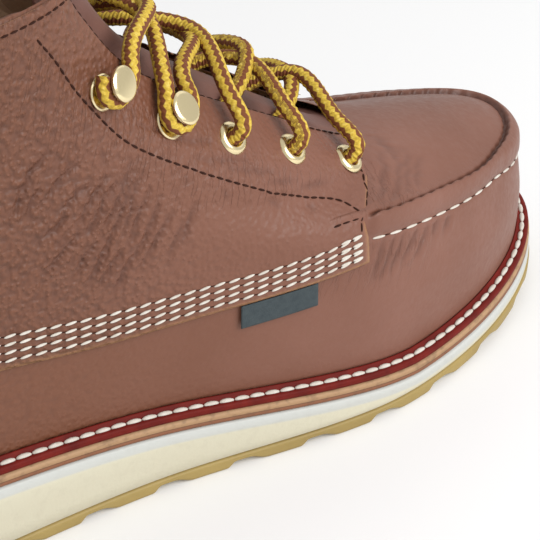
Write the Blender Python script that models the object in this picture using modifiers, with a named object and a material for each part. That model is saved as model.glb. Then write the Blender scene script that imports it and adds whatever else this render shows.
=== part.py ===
# Right work boot with a moccasin toe: lasted leather upper, laced front, storm welt and wedge sole.
# Tables and sizes are in millimetres and become metres where meshes are made.
# +X points to the toe, +Y to the inner side of the foot, +Z up. The boot stands on Z = 0.

import math
from collections import namedtuple

import bmesh
import bpy
import numpy as np
from mathutils import Matrix, Vector
from mathutils.bvhtree import BVHTree

MM = 0.001

# Driving sizes
SOLE_LENGTH = 304.0
TOE_SPRING = 8.0
BALL_X = 50.0                 # the sole leaves the floor ahead of this station
STACK_X = (-150.0, -62.0, 65.0)
STACK_Z = (37.8, 31.5, 16.5)  # sole thickness with the welt at those stations
GUM_THICK = 2.2
LUG_DEPTH = 2.8
LUG_PITCH = 25.0
LUG_GROOVE = 8.0
LUG_WALL = 1.2
LEATHER_SOLE_THICK = 4.0
WELT_THICK = 2.5
WELT_WIDTH = 6.0              # welt that shows outside the upper
WELT_TUCK = 4.0               # welt under the upper's edge
WALL = 2.0                    # leather of the upper with its lining
QUARTER_THICK = 1.8
TONGUE_THICK = 2.6
INSOLE_THICK = 5.0
INSOLE_INSET = 5.0
GAP = 0.35                    # between pieces that are sewn or glued together
LAYER_GAP = 0.3               # between the layers of the sole
SEAT_TOUCHES = 12             # points of the leather that carry an eyelet's or a hook's plate
SEAM_HEIGHT = 1.2             # raised roll of the toe seam
SEAM_WIDTH = 3.6
EYELET_PITCH = 24.0
EYELET_FROM_EDGE = 11.5
EYELET_FIRST = 13.0
EYELETS = 3
HOOKS = 2
EYELET_OUTER = 5.1
EYELET_BORE = 2.6
EYELET_TUBE = 3.1
EYELET_HOLE = 3.5
LACE_RADIUS = 2.5
TAG_X = (3.0, 28.0)
TAG_DROP = 8.0
TAG_THICK = 0.9

# Stations where each girth's half widths are given
WIDTH_STATIONS = (-100.0, -30.0, 45.0, 90.0, 120.0)    # heel, waist, ball, vamp, toe
HEEL_START = -98.0            # behind it a girth rounds off to the heel
HEEL_POWER = 2.2

# One row for each girth: its heel and toe ends, half widths at the stations, where the toe starts to
# round off and how squarely, the quarter's front and the throat on it, and how far its sides fall
Girth = namedtuple(
    "Girth",
    "back_x back_z front_x front_z tip_y lateral medial toe_start toe_power quarter_x throat_arc crown")

# Plan of the sole edge, and the girth along the toe seam
SOLE = Girth(-152, 0, 152, 0, 7, (41.5, 43.2, 53.7, 54, 54), (38.5, 37, 53.43, 53.75, 53.75),
             45, 2.12, 46, 62, 0)
RIDGE = Girth(-141.5, 111.6, 144.5, 55, 8, (34, 37, 44.5, 37, 31), (34, 35, 35.5, 27, 24.5),
              90, 2.2, 46.5, 44, 0)

# Girths of the last above the toe seam: plug, instep, shaft, collar, and the top of the tongue
TOP_GIRTHS = (
    Girth(-141, 114.5, 140.8, 57.8, 8, (34, 37, 43.3, 33.7, 27.4), (34, 34.9, 34, 24, 21.2),
          88, 2.2, 47, 40, 0.0004),
    Girth(-140.3, 118, 114, 69, 6, (34, 36.9, 42.3, 31, 24), (34, 34.8, 33.7, 23, 20),
          70, 2.2, 49.5, 30, 0.0033),
    Girth(-139.4, 122, 88, 76.5, 3, (34, 36.8, 41, 33, 30), (34, 34.7, 34, 27, 24),
          45, 2.2, 54, 22, 0.0051),
    Girth(-138.1, 127.5, 67, 81.5, 0, (34.2, 36.6, 40, 33, 30), (34.2, 34.6, 35, 30, 28),
          22, 2.2, 56.5, 15, 0.0065),
    Girth(-136.9, 132.5, 45, 95.5, 0, (34.4, 35.6, 37, 30, 30), (34.4, 34.2, 35, 30, 30),
          0, 2.2, 32, 18, 0.0065),
    Girth(-135.7, 138, 25, 109.5, 0, (34.8, 34.2, 33, 30, 30), (34.8, 33.5, 32.5, 30, 30),
          -25, 2.2, 10, 20.5, 0.006),
    Girth(-134.7, 144, 6, 123, 0, (35.2, 32.9, 30, 30, 30), (35.2, 32.7, 30, 30, 30),
          -45, 2.2, -10, 23, 0.005),
    Girth(-134.1, 150, -9, 136, 0, (36, 32.3, 30, 30, 30), (36, 32.3, 30, 30, 30),
          -60, 2.2, -28, 25, 0.004),
    Girth(-133.9, 158, -19, 151, 0, (37.5, 32.8, 30, 30, 30), (37.5, 32.8, 30, 30, 30),
          -70, 2.2, -40, 27, 0.002),
    Girth(-134.5, 171, -26, 166, 0, (40, 34, 30, 30, 30), (40, 34, 30, 30, 30), -78, 2.2, -50, 29, 0),
    Girth(-135, 186, -29, 183, 0, (41, 36, 30, 30, 30), (41, 36, 30, 30, 30), -82, 2.2, -54, 29, 0),
)

# How the wall leans from the welt (0) to the toe seam (1) as it rises
WALL_RISE = (0.0, 0.18, 0.4, 0.65, 0.86, 1.0)
WALL_LEAN = (0.0, -0.07, -0.05, 0.24, 0.64, 1.0)

# Lower edge of the quarters
QUARTER_EDGE_X = (-140.0, -75.0, -35.0, 0.0, 47.0)
QUARTER_EDGE_Z = (74.0, 65.0, 59.3, 59.0, 60.0)

# Columns of the upper's net, from the heel seam to the front of the toe
QUARTER_COLUMN = 14
THROAT_COLUMN = 20
FRONT_COLUMN = 24
SAMPLES = 96                  # points kept on each half of a girth
NET_COLUMNS = np.concatenate([np.arange(0, THROAT_COLUMN), np.arange(THROAT_COLUMN, FRONT_COLUMN + 0.1, 0.5)])


def smooth_table(x, xs, ys):
    """Cubic curve through a short table, held level past its ends."""
    xs = np.asarray(xs, float)
    ys = np.asarray(ys, float)
    slope = np.gradient(ys, xs)
    x = np.clip(x, xs[0], xs[-1])
    i = np.clip(np.searchsorted(xs, x) - 1, 0, len(xs) - 2)
    h = xs[i + 1] - xs[i]
    q = (x - xs[i]) / h
    return ((1 + 2 * q) * (1 - q) ** 2 * ys[i] + q * (1 - q) ** 2 * h * slope[i]
            + q * q * (3 - 2 * q) * ys[i + 1] + q * q * (q - 1) * h * slope[i + 1])


def spring(x):
    """Height of the sole's underside over the floor."""
    return TOE_SPRING * np.clip((np.asarray(x, float) - BALL_X) / (SOLE_LENGTH / 2 - BALL_X), 0, None) ** 2


def welt_top(x):
    """Height of the welt's upper face."""
    return spring(x) + smooth_table(x, STACK_X, STACK_Z)


def girth_side(girth, x, side, inset=0.0):
    """Distance of one side of a girth from the boot's middle plane."""
    widths = np.asarray(girth.lateral if side < 0 else girth.medial, float) - inset
    front_x = girth.front_x - inset
    back_x = girth.back_x + inset
    front = np.clip((x - girth.toe_start) / (front_x - girth.toe_start), 0, 1)
    back = np.clip((HEEL_START - x) / (HEEL_START - back_x), 0, 1)
    round_off = ((1 - front ** girth.toe_power) ** (1 / girth.toe_power)
                 * (1 - back ** HEEL_POWER) ** (1 / HEEL_POWER))
    swing = girth.tip_y * np.clip((x - BALL_X) / max(front_x - BALL_X, 1.0), 0, 1) ** 1.5
    return swing + side * smooth_table(x, WIDTH_STATIONS, widths) * round_off


def end_spaced(low, high, count):
    """Values that crowd towards both ends of a range."""
    return (low + high) / 2 - (high - low) / 2 * np.cos(np.linspace(0, math.pi, count))


def girth_half(girth, side, inset=0.0):
    """One half of a girth in plan, resampled so that its columns meet the quarter's front and the throat."""
    x = end_spaced(girth.back_x + inset, girth.front_x - inset, 1200)
    plan = np.column_stack([x, girth_side(girth, x, side, inset)])
    along = np.concatenate([[0], np.cumsum(np.linalg.norm(np.diff(plan, axis=0), axis=1))])
    knots = (0, QUARTER_COLUMN / FRONT_COLUMN, THROAT_COLUMN / FRONT_COLUMN, 1)
    stops = (0, np.interp(girth.quarter_x, x, along), along[-1] - girth.throat_arc, along[-1])
    s = np.interp(np.linspace(0, 1, SAMPLES + 1), knots, stops)
    return np.column_stack([np.interp(s, along, plan[:, 0]), np.interp(s, along, plan[:, 1])])


def girth_ring(girth, inset=0.0):
    """A closed girth in plan: heel seam, outer side, toe, inner side."""
    outer = girth_half(girth, -1, inset)
    inner = girth_half(girth, 1, inset)
    return np.vstack([outer, inner[-2:0:-1]])


def ridge_height(x):
    rise = (RIDGE.back_z - RIDGE.front_z) / (RIDGE.back_x - RIDGE.front_x)
    return RIDGE.front_z + rise * (x - RIDGE.front_x)


def last_rings():
    """Rings of points from the welt to the top of the tongue."""
    feather = girth_ring(SOLE, WELT_WIDTH)
    ridge = girth_ring(RIDGE)
    rings = []
    for rise, lean in zip(WALL_RISE, WALL_LEAN):
        plan = feather + lean * (ridge - feather)
        low = welt_top(plan[:, 0]) + GAP
        height = low + rise * (ridge_height(plan[:, 0]) - low)
        rings.append(np.column_stack([plan, height]))
    for girth in TOP_GIRTHS:
        plan = girth_ring(girth)
        share = (plan[:, 0] - girth.back_x) / (girth.front_x - girth.back_x)
        height = girth.back_z + share * (girth.front_z - girth.back_z) - girth.crown * plan[:, 1] ** 2
        rings.append(np.column_stack([plan, height]))
    return np.array(rings)


def even_slopes(rings, levels):
    """Slopes for a cubic through the rings that never swings past them."""
    step = np.diff(rings, axis=0) / np.diff(levels)[:, None, None]
    low, high = step[:-1], step[1:]
    same_way = low * high > 0
    inner = np.where(same_way, 2 * low * high / np.where(same_way, low + high, 1), 0)
    return np.concatenate([step[:1], inner, step[-1:]])


RINGS = last_rings()
STEPS = np.linalg.norm(np.diff(RINGS, axis=0), axis=2).mean(axis=1)
LEVELS = np.concatenate([[0], np.cumsum(STEPS)])
SLOPES = even_slopes(RINGS, LEVELS)
SEAM_RING = len(WALL_RISE) - 1
SEAM_LEVEL = LEVELS[SEAM_RING]
VAMP_RING = SEAM_RING + 4
COLLAR_RING = len(RINGS) - 2


def last_point(column, level):
    """Point of the last's skin: columns run 0 to 24 on the outer side and 0 to -24 on the inner."""
    column, level = np.broadcast_arrays(np.asarray(column, float), np.asarray(level, float))
    count = RINGS.shape[1]
    place = np.mod(column * SAMPLES / FRONT_COLUMN, count)
    base = np.floor(place).astype(int)
    part = (place - base)[..., None]
    row = np.clip(np.searchsorted(LEVELS, level) - 1, 0, len(LEVELS) - 2)
    step = (LEVELS[row + 1] - LEVELS[row])[..., None]
    q = ((level - LEVELS[row])[..., None]) / step
    point = 0
    weights = (-part * (1 - part) ** 2 / 2, 1 + part ** 2 * (3 * part - 5) / 2,
               part * (1 + part * (4 - 3 * part)) / 2, -part ** 2 * (1 - part) / 2)
    for offset, weight in zip((-1, 0, 1, 2), weights):
        j = (base + offset) % count
        point = point + weight * (
            (1 + 2 * q) * (1 - q) ** 2 * RINGS[row, j] + q * (1 - q) ** 2 * step * SLOPES[row, j]
            + q * q * (3 - 2 * q) * RINGS[row + 1, j] + q * q * (q - 1) * step * SLOPES[row + 1, j])
    return point


def last_normal(column, level):
    """Direction out of the last's skin."""
    column = np.asarray(column, float)
    level = np.asarray(level, float)
    across = last_point(column + 0.05, level) - last_point(column - 0.05, level)
    up = last_point(column, level + 0.3) - last_point(column, np.maximum(level - 0.3, 0))
    normal = np.cross(across, up)
    return normal / np.linalg.norm(normal, axis=-1, keepdims=True)


def seam_bump(column, level):
    """Height of the rolled toe seam, ahead of the quarters."""
    here = last_point(column, level)
    seam = last_point(column, np.full(np.shape(level), SEAM_LEVEL))
    away = np.linalg.norm(here - seam, axis=-1)
    ahead = np.clip((np.abs(column) - QUARTER_COLUMN) / 1.0, 0, 1)
    return SEAM_HEIGHT * np.exp(-(away / SEAM_WIDTH) ** 2) * ahead


def skin(column, level, offset=0.0):
    """Point at a distance outside the last's skin."""
    lift = np.asarray(offset + seam_bump(column, level))[..., None]
    return last_point(column, level) + lift * last_normal(column, level)


def quarter_level(column):
    """Level of the quarters' lower edge on each column."""
    column = np.asarray(column, float)
    levels = np.linspace(0, SEAM_LEVEL, 120)
    grid = last_point(column[:, None], levels[None, :])
    over = grid[..., 2] - smooth_table(grid[..., 0], QUARTER_EDGE_X, QUARTER_EDGE_Z)
    return np.array([np.interp(0.0, line, levels) for line in over])


# Rows of the upper's net: shares of the way to the quarter's edge, then to the seam, then ring numbers
LOW_SHARES = (0.0, 0.5, 1.0)
HIGH_SHARES = (0.5, 1.0)
SEAM_ROWS = (-4.5, -1.8, 0.6, 2.8)
TOP_ROWS = (6.8, 8.0, 9.0, 9.6, 10.3, 11.0, 11.8, 12.7, 13.8, 15.0)
EDGE_ROW = len(LOW_SHARES) - 1
THROAT_ROW = len(LOW_SHARES) + len(HIGH_SHARES) - 1 + len(SEAM_ROWS) + TOP_ROWS.index(9.0)


def net_levels(columns):
    """Level of every row of the net on the given columns."""
    edge = quarter_level(columns)
    under_seam = SEAM_LEVEL + SEAM_ROWS[0]
    rows = [share * edge for share in LOW_SHARES]
    rows += [edge + share * (under_seam - edge) for share in HIGH_SHARES[:-1]]
    rows += [np.full(len(columns), SEAM_LEVEL + step) for step in SEAM_ROWS]
    ring_numbers = np.arange(len(LEVELS))
    rows += [np.full(len(columns), np.interp(number, ring_numbers, LEVELS)) for number in TOP_ROWS]
    return np.array(rows)


def clear_scene():
    for thing in list(bpy.data.objects):
        bpy.data.objects.remove(thing, do_unlink=True)


def make_collection(name):
    collection = bpy.data.collections.new(name)
    bpy.context.scene.collection.children.link(collection)
    return collection


def make_material(name, colour, roughness, metallic=0.0):
    material = bpy.data.materials.new(name)
    material.use_nodes = True
    shader = material.node_tree.nodes["Principled BSDF"]
    shader.inputs["Base Color"].default_value = (*colour, 1.0)
    shader.inputs["Roughness"].default_value = roughness
    shader.inputs["Metallic"].default_value = metallic
    material.diffuse_color = (*colour, 1.0)
    return material


def add_object(name, mesh, material, collection):
    thing = bpy.data.objects.new(name, mesh)
    mesh.materials.clear()
    mesh.materials.append(material)
    collection.objects.link(thing)
    return thing


def sheet_mesh(name, points, keep=None, closed=False):
    """Mesh of a net of rows and columns of points, in metres; keep says which cells have a face."""
    rows, columns = points.shape[:2]
    mesh = bpy.data.meshes.new(name)
    bm = bmesh.new()
    verts = [[bm.verts.new(Vector(p) * MM) for p in row] for row in points]
    last = columns if closed else columns - 1
    for r in range(rows - 1):
        for c in range(last):
            if keep is not None and not keep[r][c]:
                continue
            d = (c + 1) % columns
            bm.faces.new((verts[r][c], verts[r][d], verts[r + 1][d], verts[r + 1][c]))
    loose = [v for v in bm.verts if not v.link_faces]
    bmesh.ops.delete(bm, geom=loose, context="VERTS")
    bm.normal_update()
    bm.to_mesh(mesh)
    bm.free()
    mesh.shade_smooth()
    return mesh


def thicken(thing, thickness, outward):
    """Turns an open sheet into a wall on one side of it."""
    wall = thing.modifiers.new("wall", "SOLIDIFY")
    wall.thickness = thickness * MM
    wall.offset = 1.0 if outward else -1.0
    wall.use_rim = True


def cut_with(thing, cutter, operation="DIFFERENCE"):
    cut = thing.modifiers.new("cut_" + cutter.name, "BOOLEAN")
    cut.operation = operation
    cut.solver = "EXACT"
    cut.object = cutter


def hide_cutter(cutter):
    cutter.hide_render = True
    cutter.display_type = "WIRE"


def slab(name, bottom, top, stations, inset, material, collection, hollow=None):
    """Sole layer lofted along the foot; hollow is the inset of an open middle."""
    sections = []
    for x in stations:
        outer = float(girth_side(SOLE, x, -1, inset))
        inner = float(girth_side(SOLE, x, 1, inset))
        low = float(bottom(x))
        high = float(top(x))
        sections.append([(x, outer, low), (x, inner, low), (x, inner, high), (x, outer, high)])
    mesh = bpy.data.meshes.new(name)
    bm = bmesh.new()
    verts = [[bm.verts.new(Vector(p) * MM) for p in section] for section in sections]
    for a, b in zip(verts, verts[1:]):
        for k in range(4):
            bm.faces.new((a[k], a[(k + 1) % 4], b[(k + 1) % 4], b[k]))
    bm.faces.new(verts[0][::-1])
    bm.faces.new(verts[-1])
    bmesh.ops.recalc_face_normals(bm, faces=bm.faces)
    bm.to_mesh(mesh)
    bm.free()
    mesh.set_sharp_from_angle(angle=math.radians(35))
    thing = add_object(name, mesh, material, collection)
    if hollow is not None:
        core = slab(name + "_core", lambda x: bottom(x) - 2, lambda x: top(x) + 2, plan_stations(hollow),
                    hollow, material, CUTTERS)
        hide_cutter(core)
        cut_with(thing, core)
    return thing


def plan_stations(inset):
    return end_spaced(-SOLE_LENGTH / 2 + inset + 0.02, SOLE_LENGTH / 2 - inset - 0.02, 36)


def lug_stations():
    """Stations of the outsole, with two at each side of every groove between lugs."""
    stations = list(end_spaced(-SOLE_LENGTH / 2 + 0.02, SOLE_LENGTH / 2 - 0.02, 26))
    for middle in groove_middles():
        edges = (-LUG_GROOVE / 2 - LUG_WALL, -LUG_GROOVE / 2, LUG_GROOVE / 2, LUG_GROOVE / 2 + LUG_WALL)
        near = [s for s in stations if abs(s - middle) < LUG_GROOVE / 2 + LUG_WALL + 1.0]
        stations = [s for s in stations if s not in near] + [middle + e for e in edges]
    return np.array(sorted(stations))


def groove_middles():
    return np.arange(-5, 6) * LUG_PITCH


def sole_bottom(x):
    """Underside of the outsole: lugs with grooves across the foot."""
    depth = 0.0
    for middle in groove_middles():
        away = abs(x - middle) - LUG_GROOVE / 2
        depth = max(depth, LUG_DEPTH * min(max(1 - away / LUG_WALL, 0.0), 1.0))
    return spring(x) + depth


def gum_top(x):
    return spring(x) + LUG_DEPTH + GUM_THICK


def leather_top(x):
    return welt_top(x) - WELT_THICK


def build_sole():
    slab("outsole", sole_bottom, gum_top, lug_stations(), 0.0,
         make_material("gum_rubber", (0.44, 0.31, 0.10), 0.55), PARTS)
    slab("midsole_wedge", lambda x: gum_top(x) + LAYER_GAP,
         lambda x: leather_top(x) - LEATHER_SOLE_THICK - LAYER_GAP, plan_stations(0.4), 0.4,
         make_material("white_wedge", (0.78, 0.74, 0.62), 0.6), PARTS)
    slab("midsole_leather", lambda x: leather_top(x) - LEATHER_SOLE_THICK, lambda x: leather_top(x) - LAYER_GAP,
         plan_stations(0.9), 0.9, make_material("sole_leather", (0.52, 0.24, 0.10), 0.6), PARTS)
    slab("welt", leather_top, welt_top, plan_stations(1.4), 1.4,
         make_material("welt_red", (0.20, 0.012, 0.015), 0.5), PARTS, hollow=WELT_WIDTH + WELT_TUCK)
    inset = WELT_WIDTH + INSOLE_INSET
    slab("insole", leather_top, lambda x: leather_top(x) + INSOLE_THICK,
         plan_stations(inset), inset, make_material("insole_board", (0.30, 0.20, 0.12), 0.8), PARTS)


def net(columns, offset):
    levels = net_levels(columns)
    return skin(np.broadcast_to(columns, levels.shape), levels, offset)


def build_upper(leather):
    """One hollow wall from the welt to the collar, open along the throat."""
    columns = np.concatenate([NET_COLUMNS, -NET_COLUMNS[-2:0:-1]])
    points = net(columns, 0.0)
    rows = points.shape[0]
    keep = np.ones((rows - 1, len(columns)), bool)
    throat = np.abs(columns) >= THROAT_COLUMN
    keep[THROAT_ROW:, throat & np.roll(throat, -1)] = False
    thing = add_object("upper", sheet_mesh("upper", points, keep, closed=True), leather, PARTS)
    thicken(thing, WALL, outward=False)
    return thing


def build_quarter(name, side, leather):
    """Quarter sewn over the upper, from the heel seam to its front edge and the throat."""
    columns = NET_COLUMNS[NET_COLUMNS <= THROAT_COLUMN]
    columns[0] = GAP / 12
    points = net(columns * side, GAP)[EDGE_ROW:]
    rows, count = points.shape[:2]
    keep = np.ones((rows - 1, count - 1), bool)
    keep[:THROAT_ROW - EDGE_ROW, columns[:-1] >= QUARTER_COLUMN] = False
    if side < 0:
        points = points[:, ::-1]
        keep = keep[:, ::-1]
    thing = add_object(name, sheet_mesh(name, points, keep), leather, PARTS)
    thicken(thing, QUARTER_THICK, outward=True)
    return thing


def build_tongue(leather):
    """Tongue under the throat, standing a little above the collar."""
    columns = np.arange(THROAT_COLUMN - 3, 2 * FRONT_COLUMN - THROAT_COLUMN + 4).astype(float)
    numbers = [n for n in TOP_ROWS if n >= 8.0] + [15.6]
    levels = np.interp(numbers, np.arange(len(LEVELS)), LEVELS)
    points = skin(columns[None, :], np.repeat(levels[:, None], len(columns), 1), -WALL - GAP)
    thing = add_object("tongue", sheet_mesh("tongue", points), leather, PARTS)
    thicken(thing, TONGUE_THICK, outward=False)
    return thing


def build_tag(cloth):
    """Woven tab under the lower edge of the outer quarter."""
    search = np.linspace(QUARTER_COLUMN - 7, QUARTER_COLUMN + 0.0, 200)
    edge = quarter_level(search)
    edge_x = last_point(search, edge)[:, 0]
    columns = np.interp(np.linspace(*TAG_X, 4), edge_x, search)
    top = quarter_level(columns) - 0.5
    levels = np.array([top - TAG_DROP, top - TAG_DROP / 2, top])
    points = skin(np.broadcast_to(columns, levels.shape), levels, GAP + 0.25)
    thing = add_object("side_tag", sheet_mesh("side_tag", points), cloth, PARTS)
    thicken(thing, TAG_THICK, outward=True)


Place = namedtuple("Place", "point out to_throat edge_level")


def eyestay_places(side, count):
    """Places along the eyelet line, each with the level of the throat edge beside it."""
    ring_numbers = np.arange(len(LEVELS))
    edge_levels = np.interp(np.linspace(VAMP_RING, COLLAR_RING, 200), ring_numbers, LEVELS)
    edge = last_point(np.full(len(edge_levels), side * THROAT_COLUMN), edge_levels)
    along = np.concatenate([[0], np.cumsum(np.linalg.norm(np.diff(edge, axis=0), axis=1))])
    columns, levels = np.meshgrid(np.linspace(THROAT_COLUMN - 12, THROAT_COLUMN, 240),
                                  np.linspace(SEAM_LEVEL - 10, LEVELS[COLLAR_RING], 320))
    surface = last_point(side * columns, levels)
    places = []
    for k in range(count):
        i = np.searchsorted(along, EYELET_FIRST + k * EYELET_PITCH)
        normal = last_normal(side * THROAT_COLUMN, edge_levels[i])
        tangent = (edge[i + 1] - edge[i - 1]) / np.linalg.norm(edge[i + 1] - edge[i - 1])
        target = edge[i] + EYELET_FROM_EDGE * side * np.cross(normal, tangent)
        nearest = np.unravel_index(np.linalg.norm(surface - target, axis=2).argmin(), columns.shape)
        column = side * columns[nearest]
        level = levels[nearest]
        point = last_point(column, level)
        normal = last_normal(column, level)
        to_throat = edge[i] - point
        to_throat = to_throat - normal * np.dot(to_throat, normal)
        places.append(Place(point, normal, to_throat / np.linalg.norm(to_throat), edge_levels[i]))
    return places


def seat_matrix(surface, place):
    """Frame that lies on the leather around a place: Z out of it, X towards the throat, in metres."""
    point, normal, forward = (Vector(v) for v in (place.point, place.out, place.to_throat))
    sideways = normal.cross(forward)
    touches = []
    for k in range(SEAT_TOUCHES):
        turn = 2 * math.pi * k / SEAT_TOUCHES
        around = EYELET_OUTER * (math.cos(turn) * forward + math.sin(turn) * sideways)
        touches.append(surface.ray_cast((point + around + 20 * normal) * MM, -normal)[0])
    middle = sum(touches, Vector()) / SEAT_TOUCHES
    spokes = [touch - middle for touch in touches]
    out = sum((a.cross(b) for a, b in zip(spokes, spokes[1:] + spokes[:1])), Vector()).normalized()
    forward = (forward - out * forward.dot(out)).normalized()
    lift = max(spoke.dot(out) for spoke in spokes) + GAP * MM
    matrix = Matrix((forward, out.cross(forward), out)).transposed().to_4x4()
    matrix.translation = middle + out * lift
    return matrix


def turned_mesh(name, profile, steps):
    """Closed ring turned from a closed profile of (radius, height) points."""
    mesh = bpy.data.meshes.new(name)
    bm = bmesh.new()
    verts = [bm.verts.new((r * MM, 0.0, z * MM)) for r, z in profile]
    edges = [bm.edges.new((a, b)) for a, b in zip(verts, verts[1:] + verts[:1])]
    bmesh.ops.spin(bm, geom=verts + edges, cent=(0, 0, 0), axis=(0, 0, 1), angle=2 * math.pi,
                   steps=steps, use_merge=True)
    bmesh.ops.remove_doubles(bm, verts=bm.verts, dist=1e-7)
    bmesh.ops.recalc_face_normals(bm, faces=bm.faces)
    bm.to_mesh(mesh)
    bm.free()
    return mesh


def cylinder(name, radius, low, high, sides, collection, material, shift=(0, 0), tilt=0.0):
    """Closed cylinder between two heights, leaning by tilt about Y."""
    mesh = bpy.data.meshes.new(name)
    bm = bmesh.new()
    bmesh.ops.create_cone(bm, cap_ends=True, segments=sides, radius1=radius * MM, radius2=radius * MM,
                          depth=(high - low) * MM)
    turn = Matrix.Rotation(tilt, 4, "Y")
    move = Matrix.Translation(Vector((shift[0], shift[1], (low + high) / 2)) * MM)
    bmesh.ops.transform(bm, matrix=move @ turn, verts=bm.verts)
    bm.to_mesh(mesh)
    bm.free()
    return add_object(name, mesh, material, collection)


def evaluated_mesh(thing, name):
    graph = bpy.context.evaluated_depsgraph_get()
    mesh = bpy.data.meshes.new_from_object(thing.evaluated_get(graph))
    mesh.name = name
    return mesh


def hook_mesh(brass):
    """Speed hook: base plate, neck towards the throat, and a leaning cap."""
    base = cylinder("hook_base", 5.0, 0.0, 0.9, 12, CUTTERS, brass)
    neck = cylinder("hook_neck", 1.7, 0.4, 6.6, 6, CUTTERS, brass, shift=(2.2, 0))
    cap = cylinder("hook_cap", 4.9, 5.9, 7.3, 12, CUTTERS, brass, shift=(2.6, 0), tilt=math.radians(8))
    cut_with(base, neck, "UNION")
    cut_with(base, cap, "UNION")
    bpy.context.view_layer.update()
    mesh = evaluated_mesh(base, "hook")
    for helper in (base, neck, cap):
        bpy.data.objects.remove(helper, do_unlink=True)
    return mesh


def build_fittings(upper, quarters, brass):
    """Eyelets through upper and quarter, and hooks above them."""
    outer = GAP + QUARTER_THICK
    through = outer + WALL + 1.0
    profile = ((EYELET_BORE, 0.7), (EYELET_BORE + 0.9, 1.2), (EYELET_OUTER - 0.9, 1.0), (EYELET_OUTER, 0.0),
               (EYELET_TUBE, 0.0), (EYELET_TUBE, -through), (EYELET_BORE, -through))
    eyelet = turned_mesh("eyelet", profile, 10)
    hook = hook_mesh(brass)
    bpy.context.view_layer.update()
    graph = bpy.context.evaluated_depsgraph_get()
    surfaces = {side: BVHTree.FromObject(thing, graph) for side, thing in quarters.items()}
    for side, label in ((1, "lateral"), (-1, "medial")):
        for k, place in enumerate(eyestay_places(side, EYELETS + HOOKS)):
            seat = seat_matrix(surfaces[side], place)
            if k < EYELETS:
                thing = add_object(f"eyelet_{label}_{k + 1}", eyelet.copy(), brass, PARTS)
                drill = cylinder(f"hole_{label}_{k + 1}", EYELET_HOLE, -8, 8, 10, CUTTERS, brass)
                drill.matrix_world = seat
                hide_cutter(drill)
                cut_with(upper, drill)
                cut_with(quarters[side], drill)
                thing.matrix_world = seat
            else:
                thing = add_object(f"hook_{label}_{k + 1 - EYELETS}", hook.copy(), brass, PARTS)
                thing.matrix_world = seat


def smooth_path(points, count):
    """Smooth curve through a few points, evenly sampled."""
    points = np.asarray(points, float)
    s = np.concatenate([[0], np.cumsum(np.linalg.norm(np.diff(points, axis=0), axis=1))])
    t = np.linspace(0, s[-1], count)
    return np.column_stack([smooth_table(t, s, points[:, axis]) for axis in range(3)])


def cord_mesh(name, path):
    """Round cord along a path, as a welded closed mesh."""
    curve = bpy.data.curves.new(name, "CURVE")
    curve.dimensions = "3D"
    curve.bevel_depth = LACE_RADIUS * MM
    curve.bevel_resolution = 1
    curve.use_fill_caps = True
    spline = curve.splines.new("POLY")
    spline.points.add(len(path) - 1)
    for knot, place in zip(spline.points, path):
        knot.co = (*(Vector(place) * MM), 1.0)
    thing = bpy.data.objects.new(name, curve)
    PARTS.objects.link(thing)
    bpy.context.view_layer.update()
    mesh = evaluated_mesh(thing, name)
    bpy.data.objects.remove(thing, do_unlink=True)
    bm = bmesh.new()
    bm.from_mesh(mesh)
    bmesh.ops.remove_doubles(bm, verts=bm.verts, dist=1e-6)
    bmesh.ops.recalc_face_normals(bm, faces=bm.faces)
    bm.to_mesh(mesh)
    bm.free()
    return mesh


LACE_CLEAR = LACE_RADIUS + 1.2     # lace middle over an eyelet's rim
LACE_EDGE = LACE_RADIUS + 0.45     # lace middle over the leather at the throat's edge
LACE_RISE = 7.5                    # lace middle over the last at the middle of the throat


def lace_strand(low, high, side, over, hooked):
    """One strand from an eyelet, or the throat's edge at a hook, across to below the next pair's far edge."""
    outer = GAP + QUARTER_THICK
    eyelet = low[side]
    start = eyelet.point + eyelet.out * (outer + 1.6 + LACE_CLEAR) + eyelet.to_throat * 2.0
    level_low = low[side].edge_level
    level_high = high[side].edge_level
    steps = ((side * THROAT_COLUMN, 0.18, outer + LACE_EDGE), (side * (THROAT_COLUMN + 2), 0.36, LACE_RISE),
             (side * FRONT_COLUMN, 0.5, LACE_RISE + over), (-side * (THROAT_COLUMN + 2), 0.64, LACE_RISE - 1.5))
    points = [] if hooked else [start]
    for column, share, lift in steps:
        points.append(skin(column, level_low + share * (level_high - level_low), lift))
    return smooth_path(points, 9)


def build_lace(cord):
    """Crossed strands over the tongue, one joined solid for each pair of eyelets."""
    places = {side: eyestay_places(side, EYELETS + HOOKS) for side in (1, -1)}
    for k in range(EYELETS + HOOKS - 1):
        low = {side: places[side][k] for side in (1, -1)}
        high = {side: places[side][k + 1] for side in (1, -1)}
        name = f"lace_crossing_{k + 1}"
        hooked = k >= EYELETS
        first = add_object(name, cord_mesh(name, lace_strand(low, high, 1, 1.6, hooked)), cord, PARTS)
        other = cord_mesh(name + "_under", lace_strand(low, high, -1, -0.8, hooked))
        second = add_object(name + "_under", other, cord, CUTTERS)
        hide_cutter(second)
        cut_with(first, second, "UNION")


clear_scene()
PARTS = make_collection("work_boot")
CUTTERS = make_collection("cutters")
brown = make_material("upper_leather", (0.28, 0.115, 0.08), 0.5)
quarter_brown = make_material("quarter_leather", (0.27, 0.11, 0.078), 0.5)
tongue_brown = make_material("tongue_leather", (0.16, 0.07, 0.05), 0.6)
metal = make_material("brass", (0.76, 0.62, 0.32), 0.3, 1.0)
build_sole()
boot_upper = build_upper(brown)
boot_quarters = {1: build_quarter("quarter_lateral", 1, quarter_brown),
                 -1: build_quarter("quarter_medial", -1, quarter_brown)}
build_tongue(tongue_brown)
build_tag(make_material("tag_weave", (0.05, 0.065, 0.07), 0.8))
build_fittings(boot_upper, boot_quarters, metal)
build_lace(make_material("lace_braid", (0.55, 0.36, 0.06), 0.8))
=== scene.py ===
import math
from collections import namedtuple

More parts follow.
